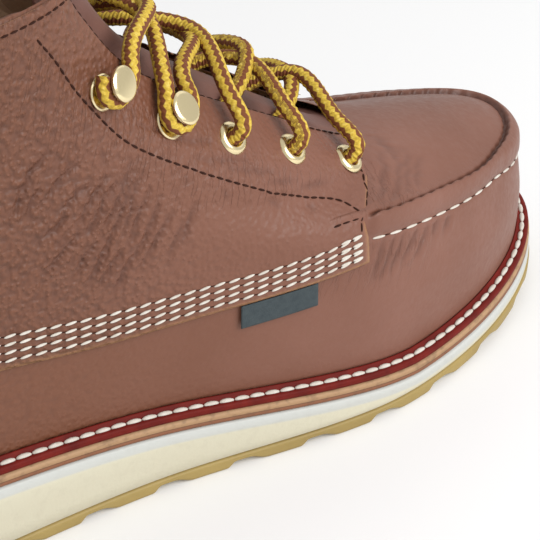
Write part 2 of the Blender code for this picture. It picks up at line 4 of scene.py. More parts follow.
import bmesh
import bpy
import numpy as np
from mathutils import Matrix, Vector
from mathutils.bvhtree import BVHTree


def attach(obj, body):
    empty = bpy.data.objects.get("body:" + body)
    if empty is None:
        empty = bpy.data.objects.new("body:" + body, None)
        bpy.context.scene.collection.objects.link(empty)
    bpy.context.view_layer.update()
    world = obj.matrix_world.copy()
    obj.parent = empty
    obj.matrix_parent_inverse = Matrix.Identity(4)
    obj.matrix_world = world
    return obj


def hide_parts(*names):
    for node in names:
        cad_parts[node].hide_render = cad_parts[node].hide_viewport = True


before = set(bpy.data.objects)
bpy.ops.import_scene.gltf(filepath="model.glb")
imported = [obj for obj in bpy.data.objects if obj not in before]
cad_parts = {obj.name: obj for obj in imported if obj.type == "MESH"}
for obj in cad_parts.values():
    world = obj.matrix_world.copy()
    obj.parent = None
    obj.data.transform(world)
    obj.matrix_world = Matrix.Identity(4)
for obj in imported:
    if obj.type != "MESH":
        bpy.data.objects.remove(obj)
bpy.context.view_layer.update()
scene = bpy.context.scene
mm = 0.001
print("frame loaded,", len(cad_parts), "nodes")

cameraSet = {"azimuth": -34.0, "elevation": 36.0, "distance": 560.0, "lookAt": (42.01, 0.0, 30.0),
             "lens": 112.0, "sensor": 36.0, "clip": (0.01, 30.0)}


def makeCamera(s):
    az, el = math.radians(s["azimuth"]), math.radians(s["elevation"])
    back = Vector((math.sin(az) * math.cos(el), -math.cos(az) * math.cos(el), math.sin(el)))
    data = bpy.data.cameras.new("photoCamera")
    data.lens = s["lens"]
    data.sensor_width = s["sensor"]
    data.clip_start, data.clip_end = s["clip"]
    camera = bpy.data.objects.new("photoCamera", data)
    camera.location = (Vector(s["lookAt"]) + back * s["distance"]) * mm
    camera.rotation_mode = "QUATERNION"
    camera.rotation_quaternion = (-back).to_track_quat("-Z", "Y")
    scene.collection.objects.link(camera)
    scene.camera = camera


makeCamera(cameraSet)
print("camera set")

# the last: girths from the sole edge to the collar, in millimetres
last = {
    "length": 304.0, "toeSpring": 8.0, "ballX": 50.0, "gap": 0.35, "weltWidth": 6.0, "wall": 2.0, "quarter": 1.8,
    "stackX": (-150.0, -62.0, 65.0), "stackZ": (37.8, 31.5, 16.5),   # welt's top
    "widthX": (-100.0, -30.0, 45.0, 90.0, 120.0), "heelStart": -98.0, "heelPower": 2.2, "swingPower": 1.5,
    "wallRise": (0.0, 0.18, 0.4, 0.65, 0.86, 1.0), "wallLean": (0.0, -0.07, -0.05, 0.24, 0.64, 1.0),
    "edgeX": (-140.0, -75.0, -35.0, 0.0, 47.0), "edgeZ": (74.0, 65.0, 59.3, 59.0, 60.0),   # quarter's lower edge
    "samples": 96, "planSteps": 2400, "edgeTries": 160, "probe": (0.12, 0.8),
}
quarterEdge, throatEdge, toeMiddle = 14, 20, 24   # columns: quarter's front edge, throat's edge, middle of the toe
girthFields = "backX backZ frontX frontZ tipY lateral medial toeStart quarterX throatArc crown toePower"
Girth = namedtuple("Girth", girthFields, defaults=(2.2,))
soleGirth = Girth(-152, 0, 152, 0, 7, (41.5, 43.2, 53.7, 54, 54), (38.5, 37, 53.43, 53.75, 53.75),
                  45, 46, 62, 0, 2.12)
ridgeGirth = Girth(-141.5, 111.6, 144.5, 55, 8, (34, 37, 44.5, 37, 31), (34, 35, 35.5, 27, 24.5), 90, 46.5, 44, 0)
topGirths = (
    Girth(-141, 114.5, 140.8, 57.8, 8, (34, 37, 43.3, 33.7, 27.4), (34, 34.9, 34, 24, 21.2), 88, 47, 40, 0.0004),
    Girth(-140.3, 118, 114, 69, 6, (34, 36.9, 42.3, 31, 24), (34, 34.8, 33.7, 23, 20), 70, 49.5, 30, 0.0033),
    Girth(-139.4, 122, 88, 76.5, 3, (34, 36.8, 41, 33, 30), (34, 34.7, 34, 27, 24), 45, 54, 22, 0.0051),
    Girth(-138.1, 127.5, 67, 81.5, 0, (34.2, 36.6, 40, 33, 30), (34.2, 34.6, 35, 30, 28), 22, 56.5, 15, 0.0065),
    Girth(-136.9, 132.5, 45, 95.5, 0, (34.4, 35.6, 37, 30, 30), (34.4, 34.2, 35, 30, 30), 0, 32, 18, 0.0065),
    Girth(-135.7, 138, 25, 109.5, 0, (34.8, 34.2, 33, 30, 30), (34.8, 33.5, 32.5, 30, 30), -25, 10, 20.5, 0.006),
    Girth(-134.7, 144, 6, 123, 0, (35.2, 32.9, 30, 30, 30), (35.2, 32.7, 30, 30, 30), -45, -10, 23, 0.005),
    Girth(-134.1, 150, -9, 136, 0, (36, 32.3, 30, 30, 30), (36, 32.3, 30, 30, 30), -60, -28, 25, 0.004),
    Girth(-133.9, 158, -19, 151, 0, (37.5, 32.8, 30, 30, 30), (37.5, 32.8, 30, 30, 30), -70, -40, 27, 0.002),
    Girth(-134.5, 171, -26, 166, 0, (40, 34, 30, 30, 30), (40, 34, 30, 30, 30), -78, -50, 29, 0),
    Girth(-135, 186, -29, 183, 0, (41, 36, 30, 30, 30), (41, 36, 30, 30, 30), -82, -54, 29, 0),
)


def lengthAlong(points):
    return np.concatenate([[0], np.cumsum(np.linalg.norm(np.diff(points, axis=0), axis=1))])


def unit(v):
    return v / np.linalg.norm(v, axis=-1, keepdims=True)


def hermite(q, start, end, leave, arrive):
    return ((1 + 2 * q) * (1 - q) ** 2 * start + q * (1 - q) ** 2 * leave
            + q * q * (3 - 2 * q) * end + q * q * (q - 1) * arrive)


def smoothTable(x, xs, ys):
    xs, ys = np.asarray(xs, float), np.asarray(ys, float)
    slope = np.gradient(ys, xs)
    x = np.clip(x, xs[0], xs[-1])
    i = np.clip(np.searchsorted(xs, x) - 1, 0, len(xs) - 2)
    h = xs[i + 1] - xs[i]
    return hermite((x - xs[i]) / h, ys[i], ys[i + 1], h * slope[i], h * slope[i + 1])


def smoothCurve(t, spots, points):
    return np.column_stack([smoothTable(t, spots, points[:, k]) for k in range(3)])


def smoothPath(points, step):
    s = lengthAlong(points)
    return smoothCurve(np.linspace(0, s[-1], max(int(s[-1] / step), 2)), s, points)


def softStep(x, low, high):
    t = np.clip((np.asarray(x, float) - low) / (high - low), 0, 1)
    return t * t * (3 - 2 * t)


def window(x, rise, fall):
    return softStep(x, *rise) * (1 - softStep(x, *fall))


def bell(x, width):
    return np.exp(-(x / width) ** 2)


def soften(points, rounds):
    for _ in range(rounds):
        points[1:-1] = (points[:-2] + 2 * points[1:-1] + points[2:]) / 4
    return points


def spring(x):
    reach = last["length"] / 2 - last["ballX"]
    return last["toeSpring"] * np.clip((np.asarray(x, float) - last["ballX"]) / reach, 0, None) ** 2


def weltTop(x):
    return spring(x) + smoothTable(x, last["stackX"], last["stackZ"])


def girthSide(girth, x, side, inset=0.0):
    widths = np.asarray(girth.lateral if side < 0 else girth.medial, float) - inset
    frontX, backX = girth.frontX - inset, girth.backX + inset
    front = np.clip((x - girth.toeStart) / (frontX - girth.toeStart), 0, 1)
    back = np.clip((last["heelStart"] - x) / (last["heelStart"] - backX), 0, 1)
    power = last["heelPower"]
    roundOff = (1 - front ** girth.toePower) ** (1 / girth.toePower) * (1 - back ** power) ** (1 / power)
    swing = girth.tipY * np.clip((x - last["ballX"]) / max(frontX - last["ballX"], 1.0), 0, 1) ** last["swingPower"]
    return swing + side * smoothTable(x, last["widthX"], widths) * roundOff


def endSpaced(low, high, count):
    return (low + high) / 2 - (high - low) / 2 * np.cos(np.linspace(0, math.pi, count))


def girthHalf(girth, side, inset, samples):
    x = endSpaced(girth.backX + inset, girth.frontX - inset, last["planSteps"])
    plan = np.column_stack([x, girthSide(girth, x, side, inset)])
    along = lengthAlong(plan)
    knots = np.array((0, quarterEdge, throatEdge, toeMiddle)) / toeMiddle
    stops = (0, np.interp(girth.quarterX, x, along), along[-1] - girth.throatArc, along[-1])
    s = np.interp(np.linspace(0, 1, samples + 1), knots, stops)
    return np.column_stack([np.interp(s, along, plan[:, 0]), np.interp(s, along, plan[:, 1])])


def girthRing(girth, inset=0.0, samples=last["samples"]):
    return np.vstack([girthHalf(girth, -1, inset, samples), girthHalf(girth, 1, inset, samples)[-2:0:-1]])


def seamHeight(x):
    g = ridgeGirth
    return g.frontZ + (g.backZ - g.frontZ) / (g.backX - g.frontX) * (x - g.frontX)


def lastRings():
    feather, ridge = girthRing(soleGirth, last["weltWidth"]), girthRing(ridgeGirth)
    rings = []
    for share, lean in zip(last["wallRise"], last["wallLean"]):
        plan = feather + lean * (ridge - feather)
        low = weltTop(plan[:, 0]) + last["gap"]
        rings.append(np.column_stack([plan, low + share * (seamHeight(plan[:, 0]) - low)]))
    for girth in topGirths:
        plan = girthRing(girth)
        share = (plan[:, 0] - girth.backX) / (girth.frontX - girth.backX)
        height = girth.backZ + share * (girth.frontZ - girth.backZ) - girth.crown * plan[:, 1] ** 2
        rings.append(np.column_stack([plan, height]))
    return np.array(rings)


def evenSlopes(rings, levels):
    step = np.diff(rings, axis=0) / np.diff(levels)[:, None, None]
    low, high = step[:-1], step[1:]
    sameWay = low * high > 0
    inner = np.where(sameWay, 2 * low * high / np.where(sameWay, low + high, 1), 0)
    return np.concatenate([step[:1], inner, step[-1:]])


Net = namedtuple("Net", "rings levels slopes")
firstRings = lastRings()
ringLevels = np.concatenate([[0], np.cumsum(np.linalg.norm(np.diff(firstRings, axis=0), axis=2).mean(axis=1))])
seamRing, collarRing = len(last["wallRise"]) - 1, len(ringLevels) - 2
vampRing = seamRing + 4
seamLevel, vampLevel, collarLevel = ringLevels[[seamRing, vampRing, collarRing]]
rawNet = Net(firstRings, ringLevels, evenSlopes(firstRings, ringLevels))


def ringLevel(number):
    return np.interp(number, np.arange(len(ringLevels)), ringLevels)


def lastPoint(column, level, net=None):
    rings, levels, slopes = net or lastNet
    column, level = np.broadcast_arrays(np.asarray(column, float), np.asarray(level, float))
    count = rings.shape[1]
    place = np.mod(column * last["samples"] / toeMiddle, count)
    base = np.floor(place).astype(int)
    part = (place - base)[..., None]
    row = np.clip(np.searchsorted(levels, level) - 1, 0, len(levels) - 2)
    step = (levels[row + 1] - levels[row])[..., None]
    q = (level - levels[row])[..., None] / step
    weights = (-part * (1 - part) ** 2 / 2, 1 + part ** 2 * (3 * part - 5) / 2,
               part * (1 + part * (4 - 3 * part)) / 2, -part ** 2 * (1 - part) / 2)
    point = 0
    for offset, weight in zip((-1, 0, 1, 2), weights):
        j = (base + offset) % count
        leave, arrive = step * slopes[row, j], step * slopes[row + 1, j]
        point = point + weight * hermite(q, rings[row, j], rings[row + 1, j], leave, arrive)
    return point


# close rings with a domed plug; under the quarters the skin runs smooth past the toe seam
netSet = {"step": 1.5, "dome": 1.3, "plugColumns": (14.2, 16.5), "plugRise": (-0.5, 2.0), "plugFall": 10.0,
          "sheetLow": 50.0, "lean": 4, "corner": (10.5, 14.0), "cornerLow": 54.0, "rounds": 30,
          "evenRise": (44.0, 54.0), "evenFall": (112.0, 130.0), "blend": (12.2, 13.6)}


def closeNets(s):
    tight = np.arange(0, ringLevels[-1], s["step"])
    columns = np.arange(2 * last["samples"]) * toeMiddle / last["samples"]
    columns = np.where(columns > toeMiddle, columns - 2 * toeMiddle, columns)
    net = lastPoint(columns[None, :], tight[:, None], rawNet)
    ends = [ridgeGirth, *topGirths[:4]]
    x = np.clip(net[..., 0], ends[-1].frontX, ridgeGirth.frontX)
    middle = smoothTable(-x, [-g.frontX for g in ends], [g.frontZ for g in ends])
    outer, inner = girthSide(ridgeGirth, x, -1), girthSide(ridgeGirth, x, 1)
    share = np.clip((net[..., 1] - (outer + inner) / 2) / np.maximum((inner - outer) / 2, 1.0), -1, 1)
    domed = seamHeight(x) + (middle - seamHeight(x)) * (1 - share ** 2) ** s["dome"]
    onPlug = window(tight, seamLevel + np.array(s["plugRise"]), (vampLevel - s["plugFall"], vampLevel))
    onPlug = onPlug[:, None] * softStep(np.abs(columns), *s["plugColumns"])
    net[..., 2] += onPlug * (domed - net[..., 2])

    a, b = np.searchsorted(tight, (s["sheetLow"], ringLevels[vampRing + 1]))
    start, end = net[a], net[b]
    chord = np.linalg.norm(end - start, axis=1, keepdims=True)
    leave, arrive = unit(start - net[a - s["lean"]]) * chord, unit(net[b + s["lean"]] - end) * chord
    levels = tight[a:b + 1]
    q = ((levels - tight[a]) / (tight[b] - tight[a]))[:, None, None]
    sheet = hermite(q, start, end, leave, arrive)
    corner = np.searchsorted(levels, vampLevel)
    for way in (1, -1):   # the front corner reaches forward over the throat's end
        front = round(way * quarterEdge * last["samples"] / toeMiddle)
        reach = net[a:b + 1, front] - sheet[:, front]
        reach[:corner] = softStep(levels[:corner], s["cornerLow"], levels[corner])[:, None] * reach[corner]
        sheet = sheet + softStep(way * columns, *s["corner"])[None, :, None] * reach[:, None, :]

    cover, under = net.copy(), net.copy()
    behind = np.abs(columns) <= quarterEdge
    cover[a:b + 1, behind] = sheet[:, behind]
    even = soften(cover.copy(), s["rounds"])
    normal = unit(np.cross(np.roll(even, -1, axis=1) - np.roll(even, 1, axis=1), np.gradient(even, axis=0)))
    share = window(tight, s["evenRise"], s["evenFall"])[:, None, None]
    cover = cover + share * normal * np.sum((even - cover) * normal, axis=2, keepdims=True)   # along the normal only
    blend = (1 - softStep(np.abs(columns), *s["blend"]))[None, :, None]
    under[a:b + 1] += blend * (sheet - under[a:b + 1])
    return [Net(rings, tight, evenSlopes(rings, tight)) for rings in (under, cover)]


lastNet, coverNet = closeNets(netSet)


def lastNormal(column, level, net=None):
    column, level = np.asarray(column, float), np.asarray(level, float)
    aside, above = last["probe"]
    across = lastPoint(column + aside, level, net) - lastPoint(column - aside, level, net)
    up = lastPoint(column, level + above, net) - lastPoint(column, np.maximum(level - above, 0), net)
    return unit(np.cross(across, up))


def skin(column, level, lift=0.0, net=None):
    return lastPoint(column, level, net) + np.asarray(lift)[..., None] * lastNormal(column, level, net)


def edgeLevel(column):
    column = np.atleast_1d(np.asarray(column, float))
    tries = np.linspace(0, seamLevel, last["edgeTries"])
    grid = lastPoint(column[:, None], tries[None, :], coverNet)
    over = grid[..., 2] - smoothTable(grid[..., 0], last["edgeX"], last["edgeZ"])
    return np.array([np.interp(0.0, line, tries) for line in over])


print("last shaped, collar at", round(float(lastPoint(0, collarLevel)[2]), 1), "mm")


weldDistance = 2e-6


def gridMesh(points, keep=None, weld=False, values=None):
    rows, columns = points.shape[:2]
    bm = bmesh.new()
    bmesh.ops.create_grid(bm, x_segments=columns - 1, y_segments=rows - 1, size=1.0)
    uv = bm.loops.layers.uv.new("UVMap")
    layers = {name: bm.verts.layers.float.new(name) for name in (values or {})}
    places = {}
    for v in bm.verts:
        r, c = round((v.co.y + 1) / 2 * (rows - 1)), round((v.co.x + 1) / 2 * (columns - 1))
        places[v.index] = (r, c)
        v.co = Vector(points[r, c]) * mm
        for name, layer in layers.items():
            v[layer] = float(values[name][r, c])
    drop = []
    for f in bm.faces:
        spots = [places[v.index] for v in f.verts]
        if keep is not None and not keep[min(p[0] for p in spots), min(p[1] for p in spots)]:
            drop.append(f)
        for loop, (r, c) in zip(f.loops, spots):
            loop[uv].uv = (c / (columns - 1), r / (rows - 1))
    bmesh.ops.delete(bm, geom=drop, context="FACES")
    bmesh.ops.delete(bm, geom=[v for v in bm.verts if not v.link_faces], context="VERTS")
    if weld:
        bmesh.ops.remove_doubles(bm, verts=[v for v in bm.verts if v.is_boundary], dist=weldDistance)
    bm.normal_update()
    return bm


def closeUp(bm):
    bmesh.ops.holes_fill(bm, edges=[e for e in bm.edges if e.is_boundary], sides=0)
    bmesh.ops.recalc_face_normals(bm, faces=bm.faces)


def addPiece(name, bm, materials, replaced=(), sharp=None):
    mesh = bpy.data.meshes.new(name)
    bm.to_mesh(mesh)
    bm.free()
    for material in materials:
        mesh.materials.append(material)
    mesh.shade_smooth()
    if sharp:
        mesh.set_sharp_from_angle(angle=math.radians(sharp))
    thing = bpy.data.objects.new(name, mesh)
    scene.collection.objects.link(thing)
    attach(thing, "root")
    if replaced:
        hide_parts(*replaced)
    return thing


def thicken(thing, thickness, rim=0, inner=0):
    wall = thing.modifiers.new("wall", "SOLIDIFY")
    wall.thickness = thickness * mm
    wall.offset = -1.0
    wall.use_rim = True
    wall.thickness_clamp = 2.0
    wall.material_offset = inner
    wall.material_offset_rim = rim


def newMaterial(name, colour, roughness, **sockets):
    material = bpy.data.materials.new(name)
    material.use_nodes = True
    tree = material.node_tree
    shader = tree.nodes["Principled BSDF"]
    shader.inputs["Base Color"].default_value = (*colour, 1.0)
    shader.inputs["Roughness"].default_value = roughness
    for socket, value in sockets.items():
        shader.inputs[socket.replace("_", " ")].default_value = value
    return material, tree, shader


def addNode(tree, kind, inputs=None, **settings):
    node = tree.nodes.new(kind)
    for key, value in settings.items():
        setattr(node, key, value)
    for key, value in (inputs or {}).items():
        if hasattr(value, "is_output"):
            tree.links.new(value, node.inputs[key])
        else:
            node.inputs[key].default_value = value
    return node


def ramp(tree, factor, stops):
    node = addNode(tree, "ShaderNodeValToRGB", {"Fac": factor})
    elements = node.color_ramp.elements
    while len(elements) < len(stops):
        elements.new(0.5)
    for element, (place, colour) in zip(elements, stops):
        element.position = place
        element.color = (*colour, 1.0)
    return node.outputs["Color"]


def grey(value):
    return (value, value, value)


def objectPlace(tree):
    return addNode(tree, "ShaderNodeTexCoord").outputs["Object"]


def noise(tree, place, scale, detail=3.0):
    return addNode(tree, "ShaderNodeTexNoise", {"Vector": place, "Scale": scale, "Detail": detail}).outputs["Fac"]


def math2(tree, operation, a, b=0.0):
    return addNode(tree, "ShaderNodeMath", {0: a, 1: b}, operation=operation).outputs["Value"]


def mixColour(tree, factor, a, b):
    a, b = ((*c, 1.0) if isinstance(c, tuple) else c for c in (a, b))
    return addNode(tree, "ShaderNodeMix", {"Factor": factor, 6: a, 7: b}, data_type="RGBA").outputs[2]


def attribute(tree, name):
    return addNode(tree, "ShaderNodeAttribute", attribute_name=name).outputs["Fac"]


def bump(tree, shader, layers):
    normal = None
    for height, strength, distance in layers:
        inputs = {"Height": height, "Strength": strength, "Distance": distance * mm}
        if normal is not None:
            inputs["Normal"] = normal
        normal = addNode(tree, "ShaderNodeBump", inputs).outputs["Normal"]
    tree.links.new(normal, shader.inputs["Normal"])


leatherSet = {
    # the heel-side colour turns darker and more orange towards the heel: the darkening is painted shade, as if the
    # light fell from the toe side; the orange is a warmer tone
    "colour": (0.175, 0.069, 0.0425), "heelShadeTint": (0.162, 0.060, 0.030), "heelShadeX": (0.05, -0.06),
    # dark: the pebble grain's darker tone, also used as painted shade in wrinkle valleys, creases and the toe seam's
    # groove
    "dark": (0.060, 0.022, 0.015), "dusty": (0.215, 0.092, 0.062), "raw": (0.40, 0.20, 0.085),
    "cloud": 24.0, "fine": 420.0, "cells": 640.0, "pores": 1600.0, "roughness": (0.42, 0.56),
    "pull": (430.0, 160.0, 75.0), "pullTurn": (0.0, 0.42, 0.0), "wrinkleShade": 0.18,   # wrinkles slant back down
}


def leatherMaterial(name, s, pebble):
    material, tree, shader = newMaterial(name, s["colour"], 0.5, Coat_Weight=0.06, Coat_Roughness=0.3,
                                         Specular_IOR_Level=0.38)
    place = objectPlace(tree)
    cloud = ramp(tree, noise(tree, place, s["cloud"], 4.0), ((0.35, grey(0)), (0.7, grey(1))))
    # painted shade towards the heel: a gradient along X darkens and warms the colour
    x = addNode(tree, "ShaderNodeSeparateXYZ", {"Vector": place}).outputs["X"]
    ends = {"From Min": s["heelShadeX"][0], "From Max": s["heelShadeX"][1]}
    heelShadeTint = addNode(tree, "ShaderNodeMapRange", {"Value": x, **ends}).outputs["Result"]
    cells = addNode(tree, "ShaderNodeTexVoronoi", {"Vector": place, "Scale": s["cells"]}, feature="SMOOTH_F1")
    grain = math2(tree, "MULTIPLY", cells.outputs["Distance"], attribute(tree, "pebble"))
    pebbled = ramp(tree, grain, ((0.25, grey(0)), (0.75, grey(0.4))))
    turned = {"Vector": place, "Rotation": s["pullTurn"], "Scale": tuple(1 / f for f in s["pull"])}
    pulled = addNode(tree, "ShaderNodeMapping", turned, vector_type="TEXTURE").outputs["Vector"]
    middle = math2(tree, "SUBTRACT", noise(tree, pulled, 1.0, 2.0), 0.5)
    valley = ramp(tree, math2(tree, "ABSOLUTE", middle), ((0.0, grey(1)), (0.05, grey(0))))
    wrinkle = math2(tree, "MULTIPLY", valley, attribute(tree, "wrinkle"))
    shaded = math2(tree, "MULTIPLY", wrinkle, s["wrinkleShade"])
    creaseShade, raw = attribute(tree, "crease"), attribute(tree, "raw")
    # painted shade: the crease attribute and the wrinkle valleys mix in the dark colour; in the pebble grain it is
    # the leather's own darker tone
    colour = s["colour"]
    layers = ((cloud, "dusty"), (heelShadeTint, "heelShadeTint"), (pebbled, "dark"), (shaded, "dark"), (creaseShade, "dark"), (raw, "raw"))
    for share, over in layers:
        colour = mixColour(tree, share, colour, s[over])
    tree.links.new(colour, shader.inputs["Base Color"])
    ends = {"From Min": 0.3, "From Max": 0.7, "To Min": s["roughness"][0], "To Max": s["roughness"][1]}
    rough = addNode(tree, "ShaderNodeMapRange", {"Value": noise(tree, place, s["fine"]), **ends})
    tree.links.new(rough.outputs["Result"], shader.inputs["Roughness"])
    sunk = math2(tree, "ADD", wrinkle, math2(tree, "MULTIPLY", grain, pebble))
    pores = noise(tree, place, s["pores"], 2.0)
    bump(tree, shader, [(math2(tree, "SUBTRACT", 1.0, sunk), 0.85, 0.75), (pores, 0.22, 0.2)])
    return material


vampLeather = leatherMaterial("vampLeather", leatherSet, 1.0)
quarterLeather = leatherMaterial("quarterLeather", leatherSet, 1.9)


def plainMaterial(name, colour, second, roughness, scale, grainScale, grainDepth, **sockets):
    material, tree, shader = newMaterial(name, colour, roughness, **sockets)
    place = objectPlace(tree)
    patch = ramp(tree, noise(tree, place, scale, 4.0), ((0.3, grey(0)), (0.75, grey(1))))
    tree.links.new(mixColour(tree, patch, colour, second), shader.inputs["Base Color"])
    bump(tree, shader, [(noise(tree, place, grainScale), 0.4, grainDepth)])
    return material


rawEdge = plainMaterial("rawEdge", (0.50, 0.27, 0.12), (0.30, 0.14, 0.06), 0.8, 300.0, 900.0, 0.4)
lining = plainMaterial("lining", (0.36, 0.22, 0.13), (0.28, 0.17, 0.10), 0.75, 60.0, 900.0, 0.3)
tongueLeather = plainMaterial("tongueLeather", (0.17, 0.075, 0.055), (0.12, 0.05, 0.038), 0.6, 60.0, 900.0, 0.4)
insoleLeather = plainMaterial("insoleLeather", (0.45, 0.28, 0.15), (0.36, 0.22, 0.12), 0.75, 40.0, 900.0, 0.2)
weltRed = plainMaterial("weltRed", (0.165, 0.012, 0.007), (0.095, 0.006, 0.004), 0.6, 160.0, 1200.0, 0.3,
                        Specular_IOR_Level=0.15)
whiteThread = plainMaterial("whiteThread", (0.70, 0.665, 0.60), (0.54, 0.49, 0.42), 0.8, 500.0, 2600.0, 0.25)
darkThread = plainMaterial("darkThread", (0.042, 0.015, 0.009), (0.024, 0.009, 0.006), 0.8, 500.0, 2600.0, 0.2,
                           Specular_IOR_Level=0.12)
tagWeave = plainMaterial("tagWeave", (0.045, 0.06, 0.065), (0.03, 0.042, 0.048), 0.85, 600.0, 1800.0, 0.4)
gumRubber = plainMaterial("gumRubber", (0.36, 0.255, 0.078), (0.29, 0.20, 0.058), 0.55, 50.0, 700.0, 0.2)
brass = newMaterial("brass", (0.83, 0.70, 0.42), 0.24, Metallic=1.0)[0]


def layeredMaterial(name, stops, roughness, streak):
    material, tree, shader = newMaterial(name, stops[0][1], roughness)
    place = objectPlace(tree)
    layer = ramp(tree, attribute(tree, "ply"), stops)
    flecks = ramp(tree, noise(tree, place, 350.0, 4.0), ((0.5, grey(0)), (0.75, grey(streak))))
    tree.links.new(mixColour(tree, flecks, layer, (0.12, 0.06, 0.03)), shader.inputs["Base Color"])
    bump(tree, shader, [(noise(tree, place, 900.0), 0.35, 0.25)])
    return material


leatherPlies = ((0.0, (0.205, 0.076, 0.032)), (0.44, (0.24, 0.092, 0.04)), (0.5, (0.09, 0.036, 0.016)),
                (0.56, (0.36, 0.205, 0.10)), (1.0, (0.42, 0.255, 0.135)))
foamPlies = ((0.0, (0.57, 0.53, 0.40)), (0.62, (0.60, 0.565, 0.43)), (0.7, (0.51, 0.515, 0.48)),
             (1.0, (0.53, 0.54, 0.51)))
soleLeather = layeredMaterial("soleLeather", leatherPlies, 0.65, 0.6)
wedgeFoam = layeredMaterial("wedgeFoam", foamPlies, 0.6, 0.06)
print("materials ready")


# sole layers: sections across the foot at close stations
soleSet = {"gum": 2.2, "lugDepth": 2.1, "lugPitch": 25.0, "lugGroove": 4.6, "lugWall": (3.0, 6.5), "leather": 4.0,
           "welt": 2.5, "stations": 240, "round": 0.5, "wallRows": 5, "tip": 0.01, "sharp": 50.0, "wedgePly": 10.0,
           "lugStations": (-5.3, -4.7, -4.1, -3.5, -2.9, -2.3, 2.3, 4.0, 5.6, 7.2, 8.8)}
grooves = np.arange(-5, 6) * soleSet["lugPitch"]
layerGap = 0.3


def lugBottom(x):
    across = np.asarray(x, float)[..., None] - grooves
    wall = np.where(across < 0, *soleSet["lugWall"])   # steep behind, easy in front
    away = np.abs(across) - soleSet["lugGroove"] / 2
    return spring(x) + soleSet["lugDepth"] * softStep(1 - away / wall, 0, 1).max(axis=-1)


def gumTop(x):
    return spring(x) + soleSet["lugDepth"] + soleSet["gum"]


def leatherTop(x):
    return weltTop(x) - soleSet["welt"]


def leatherBottom(x):
    return leatherTop(x) - soleSet["leather"]


def shifted(height, rise):
    return lambda x: height(x) + rise


def solePiece(name, bottom, top, inset, material, node, plyDepth=None, extra=()):
    half = last["length"] / 2 - inset - soleSet["tip"]
    x = np.sort([*endSpaced(-half, half, soleSet["stations"]), *(e for e in extra if abs(e) < half)])
    low, high, r = bottom(x), top(x), soleSet["round"]
    wall = [(0.0, low + r + s * (high - low - 2 * r)) for s in np.linspace(0, 1, soleSet["wallRows"])]
    rows = [(r, low), *wall, (r, high)]
    near, far = ([np.column_stack([x, girthSide(soleGirth, x, side, inset + i), z]) for i, z in rows]
                 for side in (-1, 1))
    points = np.array(near + [(near[-1] + far[-1]) / 2] + far[::-1] + [(near[0] + far[0]) / 2, near[0]])
    depth = (points[..., 2] - low) / (high - low) if plyDepth is None else 1 - (high - points[..., 2]) / plyDepth
    bm = gridMesh(points, weld=True, values={"ply": np.clip(depth, 0, 1)})
    bmesh.ops.remove_doubles(bm, verts=bm.verts, dist=weldDistance)   # the sections close up at toe and heel
    closeUp(bm)
    addPiece(name, bm, [material], [node], soleSet["sharp"])


lugEdges = [middle + e for middle in grooves for e in soleSet["lugStations"]]
solePiece("outsoleGum", lugBottom, gumTop, 0.0, gumRubber, "outsole", extra=lugEdges)
solePiece("wedge", shifted(gumTop, layerGap), shifted(leatherBottom, -layerGap), 0.4, wedgeFoam, "midsole_wedge",
          soleSet["wedgePly"])
solePiece("midsoleLeather", leatherBottom, shifted(leatherTop, -layerGap), 0.9, soleLeather, "midsole_leather")
print("sole layers made")


# section: inset from the sole edge, height over the welt's lower face
weltSet = {"samples": 360, "stitchInset": 3.7, "section": (
    (1.8, 0.0), (1.4, 0.5), (1.4, 1.8), (1.9, 2.35), (2.6, 2.5), (2.8, 2.45), (3.7, 1.95), (4.6, 2.45), (5.0, 3.0),
    (5.35, 3.5), (5.75, 3.6), (6.0, 3.1), (6.2, 2.5), (10.0, 2.5), (10.0, 0.0), (1.8, 0.0))}


def closedPlan(inset, samples):
    plan = girthRing(soleGirth, inset, samples)
    return np.vstack([plan, plan[:1]])


def weltPiece(s):
    loops = []
    for inset, height in s["section"]:
        plan = closedPlan(inset, s["samples"])
        loops.append(np.column_stack([plan, leatherTop(plan[:, 0]) + height]))
    bm = gridMesh(np.array(loops), weld=True)
    closeUp(bm)
    addPiece("stormWelt", bm, [weltRed], ["welt"])


weltPiece(weltSet)


insoleSet = {"inset": 11.0, "thick": 5.0, "cup": 1.2, "cupPower": 2.5, "fade": 25.0,
             "stations": 120, "across": (21, 5)}


def insolePiece(s):
    half = last["length"] / 2 - s["inset"] - soleSet["tip"]
    x = endSpaced(-half, half, s["stations"])
    near, far = girthSide(soleGirth, x, -1, s["inset"]), girthSide(soleGirth, x, 1, s["inset"])
    cup = s["cup"] * softStep(half - np.abs(x), 0, s["fade"])
    rows = [(t, s["thick"] - cup * (1 - abs(2 * t - 1) ** s["cupPower"])) for t in np.linspace(0, 1, s["across"][0])]
    rows += [(t, 0.0) for t in np.linspace(1, 0, s["across"][1])]
    loop = [np.column_stack([x, near + t * (far - near), leatherTop(x) + rise]) for t, rise in rows + rows[:1]]
    bm = gridMesh(np.array(loop), weld=True)
    closeUp(bm)
    addPiece("insoleBoard", bm, [insoleLeather], ["insole"], soleSet["sharp"])


insolePiece(insoleSet)
print("welt and insole made")


